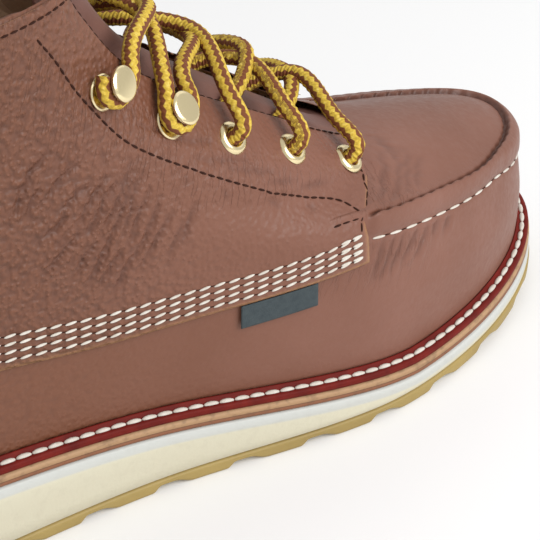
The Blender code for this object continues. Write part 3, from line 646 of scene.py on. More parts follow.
# creases follow (column, level) lines on the leather; width and depth in millimetres
creaseSet = {
    "vamp": {"width": 1.1, "depth": 0.6, "shade": 0.4, "lines": (
        ((14.72, 49), (14.45, 41), (14.2, 33)), ((15.13, 48.5), (14.76, 40), (14.42, 33.5)),
        ((15.5, 48), (15.1, 40.5), (14.75, 34)), ((16.04, 48), (15.66, 41.5), (15.2, 36)),
        ((16.47, 47.7), (16.18, 41.6), (15.8, 37)), ((16.95, 47.5), (16.6, 42)), ((17.48, 46.6), (17.15, 42)))},
    "plug": {"width": 1.1, "depth": 0.42, "shade": 0.3, "lines": (
        ((18.9, 80), (17, 78), (15.2, 76), (14.5, 65)), ((19.5, 77), (17.8, 75), (16.2, 72), (15.1, 62.5)),
        ((19.5, 74.5), (17.2, 71.4), (15.9, 62.2)), ((19, 71.5), (17.3, 68.5), (16.4, 61.5)),
        ((20.6, 80), (18.4, 76.5)))},
    "fan": {"width": 0.88, "depth": 0.66, "shade": 0.46, "lines": (
        ((10.2, 148), (8.8, 136), (7.5, 121)), ((10.3, 138), (9.3, 131), (7.7, 114)),
        ((9.8, 125), (8.9, 119), (7.9, 108)), ((10.5, 129), (9.2, 117), (7.5, 96)),
        ((10.7, 128), (9.4, 115), (8.1, 99), (7.3, 85)),
        ((11.4, 134), (10.3, 122), (9.1, 107), (7.5, 86)),
        ((11.6, 134), (10.4, 121), (9.2, 106), (7.8, 84), (8.1, 55)),
        ((11.5, 130), (10.3, 118), (9.2, 103), (8, 86)), ((10.7, 118), (9.5, 104), (8.6, 94), (8.7, 58)),
        ((10.5, 112), (9.3, 98), (8.9, 67), (8.7, 52)), ((10.1, 102), (8.9, 89), (9.2, 57), (8.9, 50)),
        ((9.8, 96), (9.7, 60), (9.5, 52)), ((10.9, 106), (9.5, 91), (9.8, 56)), ((8.3, 112), (7.6, 102), (6.5, 88)),
        ((7.8, 97), (7.1, 79), (7.2, 57), (6.9, 53)), ((7.6, 81), (7.8, 57), (7.6, 51)),
        ((8, 75), (8.1, 55), (7.9, 48)), ((8.6, 59), (8.4, 54), (8.1, 47)),
        ((8.8, 56), (8.6, 50), (8.4, 44)), ((8.4, 130), (7.6, 120), (6.9, 110)),
        ((8.8, 130), (7.9, 120), (7.1, 107)))},
    "facing": {"width": 1, "depth": 0.35, "shade": 0.3, "lines": (
        ((12.5, 146), (12.9, 138), (13.1, 133)), ((12.6, 137), (13, 129), (13.3, 126)),
        ((12.3, 124), (12.8, 119), (13.2, 115)),
        ((12.5, 117), (12.9, 111), (13.2, 107)), ((12.7, 106), (13.1, 101)), ((12.9, 99), (13.3, 94)),
        ((11.7, 120), (11.2, 113)), ((11.9, 110), (11.4, 103)), ((12.2, 101), (11.8, 94)), ((12.4, 93), (12.1, 87)))},
}
creaseRule = {"steps": 13, "reach": 4.0, "ridge": 0.5, "ridgeAt": 2.1, "fade": 0.6}


def addCreases(points, names, side):
    rule, steps = creaseRule, creaseRule["steps"]
    flat = points.reshape(-1, 3)
    bend, shade = np.zeros(points.shape[:2]), np.zeros(points.shape[:2])
    for s, line in [(creaseSet[name], line) for name in names for line in creaseSet[name]["lines"]]:
        columns, levels = np.array(line).T
        knots = lastPoint(side * columns, levels, rawNet)
        path = smoothCurve(np.linspace(0, 1, steps + 1), np.linspace(0, 1, len(knots)), knots)
        path = np.array([flat[np.linalg.norm(flat - p, axis=1).argmin()] for p in path])
        reach = rule["reach"] * s["width"]
        near = np.all((points > path.min(axis=0) - reach) & (points < path.max(axis=0) + reach), axis=-1)
        p = points[near]
        away, fade = np.full(len(p), 1e9), np.zeros(len(p))
        for k in range(steps):
            run = path[k + 1] - path[k]
            q = np.clip(((p - path[k]) @ run) / max(run @ run, 1e-9), 0, 1)
            d = np.linalg.norm(p - path[k] - q[:, None] * run, axis=1)
            here = np.sin(math.pi * np.clip((k + q) / steps, 0.0, 1.0)) ** rule["fade"]
            away, fade = np.where(d < away, d, away), np.where(d < away, here, fade)
        trough = bell(away, s["width"])
        ridge = bell(away - rule["ridgeAt"] * s["width"], s["width"])
        bend[near] += s["depth"] * fade * (rule["ridge"] * ridge - trough)
        shade[near] = np.maximum(shade[near], s["shade"] * fade * trough)
    return bend, shade


# upper: vamp wall, rolled toe seam and plug in one hollow wall
upperSet = {
    "rollHeight": 1.0, "rollMiddle": -4.0, "rollHalf": 3.8, "rollPower": 2.4, "ahead": (14.05, 14.4),
    "inner": ((12.0, 15.0), (20.0, 23.8)), "pucker": 0.1, "puckerPitch": 5.4, "puckerOuter": 0.18,
    "groove": 1.0, "grooveWave": 0.3, "grooveShift": 0.3, "grooveWidth": 0.8,
    "stitchAt": -7.7, "stitchDepth": 0.45, "stitchWidth": 0.8,
    "rimRise": 2.7, "rimRiseIn": 1.5, "rimFrom": (-8.5, -2.0), "rimTo": (-1.6, 0.4),
    "footWave": 0.95, "footFront": 4.4, "footColumns": (18.5, 23.5), "footIn": 4.4,   # where the rim meets the plug
    # painted shade: a dark line along the groove at the rim's foot, waved with the puckers, and a cap on all painted
    # shade of the upper
    "shadeShift": -0.2, "shadeWidth": 0.85, "shadeWave": 0.25, "shadeMost": 0.85,
    "columns": ((0, 13.5, 14.5, 20, 24), (40, 14, 84, 56)), "rows": (26, 14, 9, 14, 16, 18),
    "nearSeam": (-12, -1.5, 1.5, 6), "wrinkle": 0.24,
    "wrinkleColumns": ((11.5, 13.5), (15.6, 17.6)), "wrinkleLevels": (24, 38),
    "wrinkleSeam": 4.3, "wrinkleAway": (4.0, 5.5), "pebble": (0.16, 0.5), "pebbleX": (-20, 90),
}


def seamDistance(column, level):
    away = np.linalg.norm(lastPoint(column, level) - lastPoint(column, seamLevel), axis=-1)
    return away * np.sign(level - seamLevel)


seamColumns = np.linspace(-toeMiddle, toeMiddle, 2401)
seamLength = lengthAlong(lastPoint(seamColumns, seamLevel))


def seamLift(column, level):
    s = upperSet
    d = seamDistance(column, level)
    along = np.interp(column, seamColumns, seamLength)
    inner = window(-column, *s["inner"])
    pitch = seamLength[-1] / round(seamLength[-1] / s["puckerPitch"])
    drawn = s["puckerOuter"] + (1 - s["puckerOuter"]) * inner   # drawn up harder on the inner side
    wave = np.cos(2 * math.pi * along / pitch) * drawn
    roll = np.clip(1 - np.abs((d - s["rollMiddle"]) / s["rollHalf"]) ** s["rollPower"], 0, 1)
    foot = np.maximum(s["footFront"] * softStep(np.abs(column), *s["footColumns"]), s["footIn"] * inner)
    foot = s["footWave"] * wave + foot
    lift = s["rollHeight"] * roll * (1 + s["pucker"] * wave)
    lift = lift - (s["groove"] + s["grooveWave"] * wave) * bell(d - foot - s["grooveShift"], s["grooveWidth"])
    lift = lift - s["stitchDepth"] * bell(d - s["stitchAt"], s["stitchWidth"])
    rise = s["rimRise"] + (s["rimRiseIn"] - s["rimRise"]) * inner
    rim = rise * window(d, s["rimFrom"], [foot + r for r in s["rimTo"]])
    # painted shade along the groove at the rim's foot
    dark = bell(d - foot - s["shadeShift"], s["shadeWidth"]) * (1 - s["shadeWave"] + s["shadeWave"] * wave)
    ahead = softStep(np.abs(column), *s["ahead"])
    return lift * ahead, rim * ahead, dark * ahead


def spread(stops, counts):
    runs = [np.linspace(a, b, n, endpoint=False) for a, b, n in zip(stops, stops[1:], counts)]
    return np.concatenate(runs + [[stops[-1]]])


def openings(columns, levels, column, below):
    keep = np.ones((len(levels) - 1, len(columns) - 1), bool)
    inside = np.minimum(np.abs(columns[:-1]), np.abs(columns[1:])) >= column - 1e-6
    rows = levels[:-1] < vampLevel - 1e-3 if below else levels[:-1] >= vampLevel - 1e-6
    keep[np.ix_(rows, inside)] = False
    return keep


def upperPiece(s):
    half = spread(*s["columns"])
    columns = np.concatenate([-half[::-1], half[1:]])
    rows = spread((0, *(seamLevel + r for r in s["nearSeam"]), vampLevel, collarLevel), s["rows"])
    column, level = np.meshgrid(columns, rows)
    lift, rim, dark = seamLift(column, level)
    flat = lastPoint(column, level)
    bends, shades = zip(*(addCreases(flat, ("vamp", "plug"), side) for side in (1, -1)))
    points = skin(column, level, lift + sum(bends))
    points[..., 2] += rim
    away = np.abs(seamDistance(column, level) + s["wrinkleSeam"])
    wrinkle = window(np.abs(column), *s["wrinkleColumns"]) * softStep(level, *s["wrinkleLevels"])
    # crease: painted shade along the toe seam's groove and in the creases' troughs, capped
    values = {"crease": np.minimum(np.maximum(dark, sum(shades)), s["shadeMost"]),
              "pebble": s["pebble"][0] + s["pebble"][1] * softStep(-points[..., 0], *s["pebbleX"]),
              "wrinkle": s["wrinkle"] * wrinkle * softStep(away, *s["wrinkleAway"])}
    return gridMesh(points, openings(columns, rows, throatEdge, False), weld=True, values=values)


upperMesh = upperPiece(upperSet)


# scales turn columns into millimetres from an edge
quarterSet = {
    "lift": last["gap"] + last["quarter"], "edgeRound": 0.55, "roundWidth": 0.8,
    "raw": 0.85, "rawWidth": 0.95, "rawTop": 6, "columns": ((0.03, 6, 13, 14, 20), (40, 92, 14, 64)),
    "lowRows": 25, "shelf": 4, "rows": (32, 96),
    "vampScale": 1.1, "throatScale": 3.5, "frontScale": 13, "heelScale": 8, "heelAdd": 0.5, "far": 9,
    "wrinkle": 0.28, "wrinkleColumns": ((9, 11.5), (13.2, 13.9)), "wrinkleLevels": (80, 95),
    "pebble": (0.35, 0.75), "pebbleX": (-10, 60),
}


def quarterPiece(side, s):
    half = spread(*s["columns"])
    columns = half if side > 0 else -half[::-1]
    edge, shelf = edgeLevel(columns), seamLevel - s["shelf"]
    low = [edge + t * (shelf - edge) for t in np.linspace(0, 1, s["lowRows"] + 1)[:-1]]
    high = [np.full(len(columns), h) for h in spread((shelf, vampLevel, collarLevel), s["rows"])]
    level = np.array(low + high)
    flat = skin(columns, level, s["lift"], coverNet)
    names = ("fan", "facing") if side > 0 else ("facing",)   # the inner side stays plain
    bend, shade = addCreases(flat, names, side)
    inward = np.abs(columns)
    toFront = (quarterEdge - inward) * s["frontScale"]
    toThroat = np.minimum((level - vampLevel) * s["vampScale"], (throatEdge - inward) * s["throatScale"])
    toEdge = np.where(inward > quarterEdge, toThroat, np.where(level < vampLevel, toFront, s["far"]))
    toEdge = np.minimum(np.minimum(toEdge, level - edge), collarLevel - level)
    toEdge = np.minimum(toEdge, inward * s["heelScale"] + s["heelAdd"])
    points = skin(columns, level, s["lift"] + bend - s["edgeRound"] * bell(toEdge, s["roundWidth"]), coverNet)
    toRaw = np.minimum(level - edge, np.where(level < vampLevel - s["rawTop"], toFront, s["far"]))
    # where the wrinkles run: their bumps and painted shade in their valleys; crease is painted shade in the creases'
    # troughs
    wrinkleShadeArea = window(inward, *s["wrinkleColumns"]) * softStep(level, *s["wrinkleLevels"])
    values = {"crease": shade, "raw": s["raw"] * bell(toRaw, s["rawWidth"]), "wrinkle": s["wrinkle"] * wrinkleShadeArea,
              "pebble": s["pebble"][0] + s["pebble"][1] * softStep(-points[..., 0], *s["pebbleX"])}
    front = level[:, -1 if side > 0 else 0]
    return gridMesh(points, openings(columns, front, quarterEdge, True), values=values)


quarterMeshes = {side: quarterPiece(side, quarterSet) for side in (1, -1)}
quarterTrees = {side: BVHTree.FromBMesh(mesh) for side, mesh in quarterMeshes.items()}
print("upper and quarters shaped")


# eyelets and hooks sit on the quarters
fittingSet = {"pitch": 24.0, "fromEdge": 11.5, "first": 13.0, "eyelets": 3, "hooks": 2, "outer": 5.1, "hole": 3.4,
              "holeReach": 6.0, "edgeSteps": 200, "searchColumn": 8, "searchLow": 10, "search": (240, 320),
              "touches": 12, "castFrom": 20.0, "settle": 0.4, "sharp": 40.0}
Place = namedtuple("Place", "edgeLevel seat")


def eyestayPlaces(side):
    s = fittingSet
    edgeLevels = ringLevel(np.linspace(vampRing, collarRing, s["edgeSteps"]))
    edge = lastPoint(side * throatEdge, edgeLevels, rawNet)
    along = lengthAlong(edge)
    columns, levels = np.meshgrid(np.linspace(s["searchColumn"], throatEdge, s["search"][0]),
                                  np.linspace(seamLevel - s["searchLow"], collarLevel, s["search"][1]))
    surface = lastPoint(side * columns, levels, rawNet)
    found = []
    for k in range(s["eyelets"] + s["hooks"]):
        i = np.searchsorted(along, s["first"] + k * s["pitch"])
        normal = lastNormal(side * throatEdge, edgeLevels[i], rawNet)
        target = edge[i] + s["fromEdge"] * side * np.cross(normal, unit(edge[i + 1] - edge[i - 1]))
        nearest = np.unravel_index(np.linalg.norm(surface - target, axis=2).argmin(), columns.shape)
        column, level = side * columns[nearest], levels[nearest]
        point, out = lastPoint(column, level, rawNet), lastNormal(column, level, rawNet)
        toThroat = edge[i] - point
        toThroat = unit(toThroat - out * np.dot(toThroat, out))
        found.append(Place(edgeLevels[i], seatMatrix(quarterTrees[side], point, out, toThroat)))
    return found


def seatMatrix(tree, point, normal, forward):
    s = fittingSet
    point, normal, forward = Vector(point), Vector(normal), Vector(forward)
    sideways = normal.cross(forward)
    touches = []
    for turn in np.arange(s["touches"]) * 2 * math.pi / s["touches"]:
        around = s["outer"] * (math.cos(turn) * forward + math.sin(turn) * sideways)
        touch = tree.ray_cast((point + around + s["castFrom"] * normal) * mm, -normal)[0]
        touches.append(touch or tree.find_nearest((point + around) * mm)[0])
    middle = sum(touches, Vector()) / s["touches"]
    spokes = [t - middle for t in touches]
    out = sum((a.cross(b) for a, b in zip(spokes, spokes[1:] + spokes[:1])), Vector()).normalized()
    forward = (forward - out * forward.dot(out)).normalized()
    matrix = Matrix((forward, out.cross(forward), out)).transposed().to_4x4()
    matrix.translation = middle + out * (max(t.dot(out) for t in spokes) * s["settle"])
    return matrix


places = {side: eyestayPlaces(side) for side in (1, -1)}


def punchHoles(bm, side):
    s = fittingSet
    centres = [(p.seat.translation, p.seat.col[2].to_3d()) for p in places[side][:s["eyelets"]]]
    drop = []
    for f in bm.faces:
        for centre, axis in centres:
            away = f.calc_center_median() - centre
            deep = away.dot(axis)
            if abs(deep) < s["holeReach"] * mm and (away - axis * deep).length < s["hole"] * mm:
                drop.append(f)
    bmesh.ops.delete(bm, geom=drop, context="FACES")


for side in (1, -1):
    punchHoles(quarterMeshes[side], side)
    punchHoles(upperMesh, side)
upper = addPiece("upperWall", upperMesh, [vampLeather, lining], ["upper"])
thicken(upper, last["wall"], inner=1)
for side, label in ((1, "Lateral"), (-1, "Medial")):
    looks = [quarterLeather, rawEdge]
    quarter = addPiece("quarter" + label, quarterMeshes[side], looks, ["quarter_" + label.lower()])
    thicken(quarter, last["quarter"], rim=1)
print("upper and quarters set, eyelet holes punched")


# profiles: radius, height
eyeletSet = {"steps": 40, "profile": (
    (2.6, -5.0), (2.6, 0.3), (2.75, 0.75), (3.1, 1.08), (3.6, 1.2), (4.2, 1.05), (4.8, 0.6), (5.1, 0.0), (4.9, -0.3),
    (3.1, -0.3), (3.1, -5.0), (2.6, -5.0))}
hookSet = {
    "base": ((0, -0.2), (4.6, -0.2), (5.0, 0.1), (5.0, 0.55), (4.65, 0.9), (0, 0.9)),
    "neck": ((0, 0.5), (2.5, 0.8), (1.9, 1.4), (1.7, 2.2), (1.7, 5.2), (2.3, 6.3), (0, 6.4)), "neckShift": 2.2,
    "cap": ((0, 0), (4.5, 0), (4.9, 0.35), (4.9, 1.0), (4.5, 1.4), (3.7, 1.52), (0, 1.6)), "capAt": (2.6, 0, 5.9),
    "tilt": 8.0, "steps": 32, "neckSteps": 20}


def addTurned(bm, profile, steps, matrix=Matrix.Identity(4)):
    before = set(bm.verts)
    line = [bm.verts.new((r * mm, 0, z * mm)) for r, z in profile]
    edges = [bm.edges.new(pair) for pair in zip(line, line[1:])]
    bmesh.ops.spin(bm, geom=line + edges, cent=(0, 0, 0), axis=(0, 0, 1), angle=2 * math.pi, steps=steps,
                   use_merge=True)
    bmesh.ops.remove_doubles(bm, verts=[v for v in bm.verts if v not in before], dist=1e-7)
    bmesh.ops.transform(bm, matrix=matrix, verts=[v for v in bm.verts if v not in before])


def addHook(bm, s):
    addTurned(bm, s["base"], s["steps"])
    addTurned(bm, s["neck"], s["neckSteps"], Matrix.Translation((s["neckShift"] * mm, 0, 0)))
    tilt = Matrix.Rotation(math.radians(s["tilt"]), 4, "Y")
    addTurned(bm, s["cap"], s["steps"], Matrix.Translation(Vector(s["capAt"]) * mm) @ tilt)


for side, label in ((1, "lateral"), (-1, "medial")):
    for k, place in enumerate(places[side]):
        bm = bmesh.new()
        if k < fittingSet["eyelets"]:
            kind, number = "eyelet", k + 1
            addTurned(bm, eyeletSet["profile"], eyeletSet["steps"])
        else:
            kind, number = "hook", k + 1 - fittingSet["eyelets"]
            addHook(bm, hookSet)
        bmesh.ops.recalc_face_normals(bm, faces=bm.faces)
        bmesh.ops.transform(bm, matrix=place.seat, verts=bm.verts)
        addPiece(f"{kind}{label.title()}{number}", bm, [brass], [f"{kind}_{label}_{number}"], fittingSet["sharp"])
print("eyelets and hooks set")


tongueSet = {"thick": 2.6, "dip": 5.4, "rings": (8.0, 15.6), "round": 9.0, "roundPower": 3, "half": 7,
             "grid": (57, 90), "dipColumns": (1.2, 3.4), "dipLow": (-2, 8), "dipHigh": 10, "dipFade": 25}


def tonguePiece(s):
    low, high = ringLevel(s["rings"])
    across = np.linspace(toeMiddle - s["half"], toeMiddle + s["half"], s["grid"][0])
    column, rise = np.meshgrid(across, np.linspace(0, 1, s["grid"][1]))
    aside = np.abs(column - toeMiddle)
    level = low + rise * (high - s["round"] * (aside / s["half"]) ** s["roundPower"] - low)
    under = softStep(aside, *s["dipColumns"]) * softStep(level, *(vampLevel + d for d in s["dipLow"]))
    under = under * softStep(collarLevel + s["dipHigh"] - level, 0, s["dipFade"])
    points = skin(column, level, -last["wall"] - last["gap"] - s["dip"] * under)
    thing = addPiece("tongueLeaf", gridMesh(points), [tongueLeather, lining], ["tongue"])
    thicken(thing, s["thick"], inner=1)


tonguePiece(tongueSet)


# lace: one cord from the top hook down through every eyelet and back up the other side
laceSet = {
    "radius": 2.5, "edgeLift": 2.95, "eyeletLift": 2.6, "rise": 7.5, "over": 1.6, "under": -0.8, "step": 0.8,
    "rounds": 6, "around": 16, "braid": 0.16, "braidPitch": 2.4, "strands": 4, "probe": 3,
    "eyelet": ((0.6, 0, -7.0), (0, 0, -3.0), (0, 0, 0.6), (0.8, 0, 4.2)),   # points in the fitting's own frame
    "hook": ((7.0, -4.7, 3.5), (2.2, -4.35, 3.4), (-0.9, -3.0, 3.4), (-2.1, 0, 3.4), (-0.9, 3.0, 3.4),
             (2.2, 4.35, 3.4), (7.0, 4.7, 3.5)),
    "tuck": ((22, 0.72, 0.8), (21, 0.82, -5.2)), "shares": (0.2, 0.52, 0.82),
    "bar": (20.5, 24.0, 27.5), "barDepth": 3.4,
}


def laceChain(side, s):
    edgeLift = last["gap"] + last["quarter"] + s["edgeLift"]
    eyelets = fittingSet["eyelets"]
    final = eyelets + fittingSet["hooks"] - 1
    start, middle, end = s["shares"]
    points = []
    for k in range(final + 1):
        here = side if k % 2 == 0 else -side
        place = places[here][k]
        edge, spots = here * throatEdge, s["eyelet"]
        if k >= eyelets:
            up = lastPoint(edge, place.edgeLevel + s["probe"]) - lastPoint(edge, place.edgeLevel - s["probe"])
            way = 1 if Vector(up).dot(place.seat.col[1].to_3d()) > 0 else -1
            spots = [(x, way * y, z) for x, y, z in s["hook"]]
        if k == final:
            spots = spots[:-1]   # the end stops at the top hook
        points += [np.array(place.seat @ (Vector(p) * mm)) / mm for p in spots]
        if k < final:
            low, high = place.edgeLevel, places[here][k + 1].edgeLevel
            crossing = [(edge, start, edgeLift + (s["eyeletLift"] if k < eyelets else 0.0)),
                        (here * toeMiddle, middle, s["rise"] + (s["over"] if side > 0 else s["under"]))]
            if k + 1 >= eyelets:
                crossing.append((-edge, end, edgeLift))
            else:
                crossing += [(-here * c, share, lift) for c, share, lift in s["tuck"]]
            points += [skin(c, low + share * (high - low), lift) for c, share, lift in crossing]
    return points


def lacePiece(s):
    bar = [skin(c, places[1][0].edgeLevel, -last["wall"] - s["barDepth"]) for c in s["bar"]]
    path = smoothPath(np.array(laceChain(1, s)[::-1] + bar + laceChain(-1, s)), s["step"])
    path = soften(path, s["rounds"])
    length = lengthAlong(path)
    tangent = unit(np.gradient(path, axis=0))
    normal = np.cross(tangent[0], (0, 0, 1.0))
    normals = []
    for t in tangent:
        normal = unit(normal - t * np.dot(normal, t))
        normals.append(normal)
    normals = np.array(normals)
    sideways = np.cross(tangent, normals)
    turns = np.linspace(0, 2 * math.pi, s["around"] + 1)
    rows = []
    for angle in turns:
        weave = math.cos(s["strands"] * angle) * np.cos(2 * math.pi * length / s["braidPitch"])
        radius = s["radius"] - s["braid"] / 2 + s["braid"] * weave
        rows.append(path + radius[:, None] * (math.cos(angle) * normals + math.sin(angle) * sideways))
    turn, along = np.meshgrid(turns / (2 * math.pi), length / s["braidPitch"], indexing="ij")
    bm = gridMesh(np.array(rows), weld=True, values={"along": along, "turn": turn})
    closeUp(bm)
    print("lace length", round(length[-1]), "mm")
    addPiece("lace", bm, [laceBraid], [f"lace_crossing_{k}" for k in range(1, 5)])


def laceMaterial():
    material, tree, shader = newMaterial("laceBraid", (0.62, 0.42, 0.06), 0.75)
    along, turn = attribute(tree, "along"), attribute(tree, "turn")
    zig = math2(tree, "MULTIPLY", math2(tree, "PINGPONG", along, 0.5), 0.42)
    slanted = math2(tree, "ADD", math2(tree, "MULTIPLY", turn, 4.0), zig)
    mask = ramp(tree, math2(tree, "PINGPONG", slanted, 0.5), ((0.25, grey(0)), (0.31, grey(1))))
    place = objectPlace(tree)
    yellows = ((0.3, (0.42, 0.26, 0.02)), (0.55, (0.66, 0.45, 0.045)), (0.8, (0.78, 0.62, 0.16)))
    tint = ramp(tree, noise(tree, place, 900.0), yellows)
    tree.links.new(mixColour(tree, mask, tint, (0.17, 0.045, 0.009)), shader.inputs["Base Color"])
    turns = math2(tree, "ADD", math2(tree, "MULTIPLY", along, 2.0), slanted)
    plait = math2(tree, "SINE", math2(tree, "MULTIPLY", turns, 2 * math.pi))
    bump(tree, shader, [(plait, 0.5, 0.3), (noise(tree, place, 3000.0, 2.0), 0.4, 0.2)])
    return material


laceBraid = laceMaterial()
lacePiece(laceSet)
print("lace run through the eyelets")


tagSet = {"from": 3.0, "to": 28.0, "drop": 8.0, "thick": 0.9, "below": 0.5, "clear": 0.25,
          "search": (7, 14, 200), "grid": (40, 14)}


def tagPiece(s):
    search = np.linspace(*s["search"])
    x = np.linspace(s["from"], s["to"], s["grid"][0])
    columns = np.interp(x, lastPoint(search, edgeLevel(search))[:, 0], search)
    top = edgeLevel(columns) - s["below"]
    level = np.array([top - s["drop"] * t for t in np.linspace(1, 0, s["grid"][1])])
    points = skin(columns, level, last["gap"] + s["clear"] + s["thick"])
    thicken(addPiece("sideTag", gridMesh(points), [tagWeave], ["side_tag"]), s["thick"])


tagPiece(tagSet)
print("tag set under the quarter's edge")


# stitches: small rice-grain threads laid along lines on the leather; each kind has length, gap and thread
stitchSet = {
    "quarter": (3.35, 1.3, 0.44), "tack": (3.2, 0.8, 0.44), "toe": (4.9, 2.4, 0.46), "welt": (4.75, 0.35, 0.98),
    "dark": (2.3, 0.8, 0.36), "quarterRows": (3.0, 5.4, 7.8, 10.2), "slant": 0.3, "edgeIn": 2.3, "collarIn": 3.0,
    "tackRise": 0.5, "tackPoints": 7, "frontAdd": 2.5, "heelColumn": 0.22, "heelAdd": 12,
    "perFront": 13.0, "perThroat": 3.2, "quarterColumns": (0.25, 13.8, 160), "toeColumns": (14.25, 33.75, 500),
    "toeLow": 22, "weltSamples": 480, "raised": 0.35, "darkRaised": 0.2, "weltRaised": 0.25,
    "hole": 0.55, "holeLap": 0.25, "holeSunk": -0.25, "flat": 0.9, "lap": 0.15, "toeSunk": 0.25, "weltSunk": 0.5,
    "facingLine": ((13.2, 186.0), (13.15, 177.5), (12.95, 167.9), (12.67, 158.7), (12.14, 148.7),
                   (11.85, 140.2), (11.8, 132.8), (11.88, 124.7), (12.1, 113.9), (12.38, 104.3), (12.62, 95.8),
                   (12.99, 79.5), (13.88, 62.1)),
    "tackLine": ((13.85, 57.6), (13.6, 57.2), (13.2, 55.9)),
}


def sewLine(bm, path, normals, kind, holes=None, raised=stitchSet["raised"], slant=0.0):
    length, gap, thread = stitchSet[kind]
    lap = stitchSet["holeLap"]
    s = lengthAlong(path)
    count = max(int((s[-1] + gap) // (length + gap)), 1)
    pitch = (s[-1] + gap) / count
    row, holeShadeRow = bmesh.new(), bmesh.new()
    for k in range(count):
        begin, finish = k * pitch, k * pitch + pitch - gap
        a, b, normal = pick(path, s, begin), pick(path, s, finish), pick(normals, s, begin + length / 2)
        tilt = slant * np.cross(normal, unit(b - a))   # each stitch climbs a little towards the toe
        addStitch(row, a - tilt, b + tilt, normal, thread, raised)
        # painted shade: a dark mark sunk into each gap between stitches stands in for the shade in the needle holes
        if holes is not None and k < count - 1:
            a, b = pick(path, s, finish - lap), pick(path, s, finish + gap + lap)
            addStitch(holeShadeRow, a, b, pick(normals, s, finish + gap), thread * stitchSet["hole"], stitchSet["holeSunk"])
    for part, whole in ((row, bm), (holeShadeRow, holes)):
        if len(part.verts):
            mesh = bpy.data.meshes.new("row")
            part.to_mesh(mesh)
            whole.from_mesh(mesh)
            bpy.data.meshes.remove(mesh)
        part.free()


def pick(table, s, at):
    return np.array([np.interp(at, s, table[:, k]) for k in range(3)])


def addStitch(bm, a, b, normal, thread, raised):
    run = Vector(b - a)
    normal = Vector(normal)
    along = run.normalized()
    up = (normal - along * normal.dot(along)).normalized()
    across = up.cross(along)
    middle = Vector((a + b) / 2) + up * thread * raised
    matrix = Matrix.Identity(4)
    half = run.length / 2 + stitchSet["lap"]
    for k, axis in enumerate((across * thread, up * thread * stitchSet["flat"], along * half)):
        matrix.col[k] = (*(axis * mm), 0.0)
    matrix.col[3] = (*(middle * mm), 1.0)
    bmesh.ops.create_uvsphere(bm, u_segments=8, v_segments=6, radius=1.0, matrix=matrix)


def onQuarter(path, side):
    found = [quarterTrees[side].find_nearest(Vector(p) * mm) for p in path]
    return np.array([f[0] for f in found]) / mm, np.array([f[1] for f in found])


def sewQuarter(side, white, dark, holes):
    s = stitchSet
    columns = np.linspace(*s["quarterColumns"])
    edge = edgeLevel(columns)
    for row in s["quarterRows"]:
        path, normals = onQuarter(lastPoint(side * columns, edge + row, coverNet), side)
        sewLine(white, path, normals, "quarter", holes, slant=s["slant"] * side)
        end = slice(-s["tackPoints"], None)   # back tack at the front end
        path, normals = onQuarter(lastPoint(side * columns[end], edge[end] + row + s["tackRise"], coverNet), side)
        sewLine(white, path, normals, "tack")
    vampLine, collarLine = vampLevel + s["edgeIn"], collarLevel - s["collarIn"]
    frontLine, throatLine = quarterEdge - s["edgeIn"] / s["perFront"], throatEdge - s["edgeIn"] / s["perThroat"]
    heel = s["heelColumn"]
    lines = ((frontLine, np.linspace(edge[-1] + s["quarterRows"][-1] + s["frontAdd"], vampLine, 40)),
             (np.linspace(quarterEdge + 0.1, throatLine, 40), vampLine),
             (throatLine, np.linspace(vampLine, collarLine, 90)),
             (np.linspace(0.3, throatLine, 120), collarLine),
             (heel, np.linspace(edgeLevel(heel)[0] + s["heelAdd"], collarLine, 60)))
    paths = [lastPoint(side * c, level, coverNet) for c, level in lines]
    for line in (s["facingLine"], s["tackLine"]):
        c, level = np.array(line).T
        paths.append(smoothPath(lastPoint(side * c, level, rawNet), 1.0))
    for path in paths:
        sewLine(dark, *onQuarter(path, side), "dark", raised=s["darkRaised"])


def sewToe(white, holes):
    columns = np.linspace(*stitchSet["toeColumns"])
    rows = np.linspace(seamLevel - stitchSet["toeLow"], seamLevel, 90)
    away = seamDistance(*np.meshgrid(columns, rows))
    spot = np.array([np.interp(upperSet["stitchAt"], line, rows) for line in away.T])
    sewLine(white, skin(columns, spot, -stitchSet["toeSunk"]), lastNormal(columns, spot), "toe", holes)


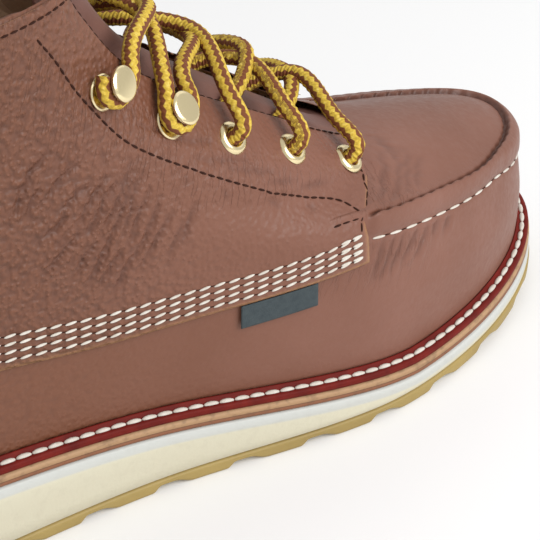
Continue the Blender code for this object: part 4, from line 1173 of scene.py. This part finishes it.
def sewWelt(white):
    plan = closedPlan(weltSet["stitchInset"], stitchSet["weltSamples"])
    path = np.column_stack([plan, weltTop(plan[:, 0]) - stitchSet["weltSunk"]])
    sewLine(white, path, np.tile((0.0, 0.0, 1.0), (len(path), 1)), "welt", raised=stitchSet["weltRaised"])


whiteBm, weltBm, darkBm, holeShadeBm = bmesh.new(), bmesh.new(), bmesh.new(), bmesh.new()
for side in (1, -1):
    sewQuarter(side, whiteBm, darkBm, holeShadeBm)
sewToe(whiteBm, holeShadeBm)
sewWelt(weltBm)
addPiece("whiteStitches", whiteBm, [whiteThread])
addPiece("weltStitches", weltBm, [whiteThread])
addPiece("darkStitches", darkBm, [darkThread])
# painted shade in the needle holes between the white stitches, in the dark thread's colour
addPiece("stitchHoleShade", holeShadeBm, [darkThread])
print("stitches sewn")


# plain pale floor and soft studio light
studioSet = {"floor": (0.86, 0.86, 0.86), "floorHalf": 20.0, "world": 0.67, "aim": (0, 0, 0.05), "lights": (
    ("keyLight", (0.36, -0.9, 0.84), 0.9, 13.2), ("fillLight", (0.9, 0.5, 0.9), 1.0, 1.4))}   # place, size, power


def studio(s):
    bm = bmesh.new()
    bmesh.ops.create_grid(bm, x_segments=1, y_segments=1, size=s["floorHalf"])
    mesh = bpy.data.meshes.new("paleFloor")
    bm.to_mesh(mesh)
    bm.free()
    floor = bpy.data.objects.new("paleFloor", mesh)
    mesh.materials.append(newMaterial("palePaper", s["floor"], 0.9)[0])
    scene.collection.objects.link(floor)
    world = bpy.data.worlds.new("studioWorld")
    world.use_nodes = True
    sky = world.node_tree.nodes["Background"]
    sky.inputs["Color"].default_value = (1, 1, 1, 1)
    sky.inputs["Strength"].default_value = s["world"]
    scene.world = world
    for name, place, size, power in s["lights"]:
        data = bpy.data.lights.new(name, "AREA")
        data.size = size
        data.energy = power
        light = bpy.data.objects.new(name, data)
        light.location = place
        light.rotation_mode = "QUATERNION"
        light.rotation_quaternion = (Vector(s["aim"]) - Vector(place)).to_track_quat("-Z", "Y")
        scene.collection.objects.link(light)


studio(studioSet)
scene.view_settings.view_transform = "Standard"
print("studio lit")
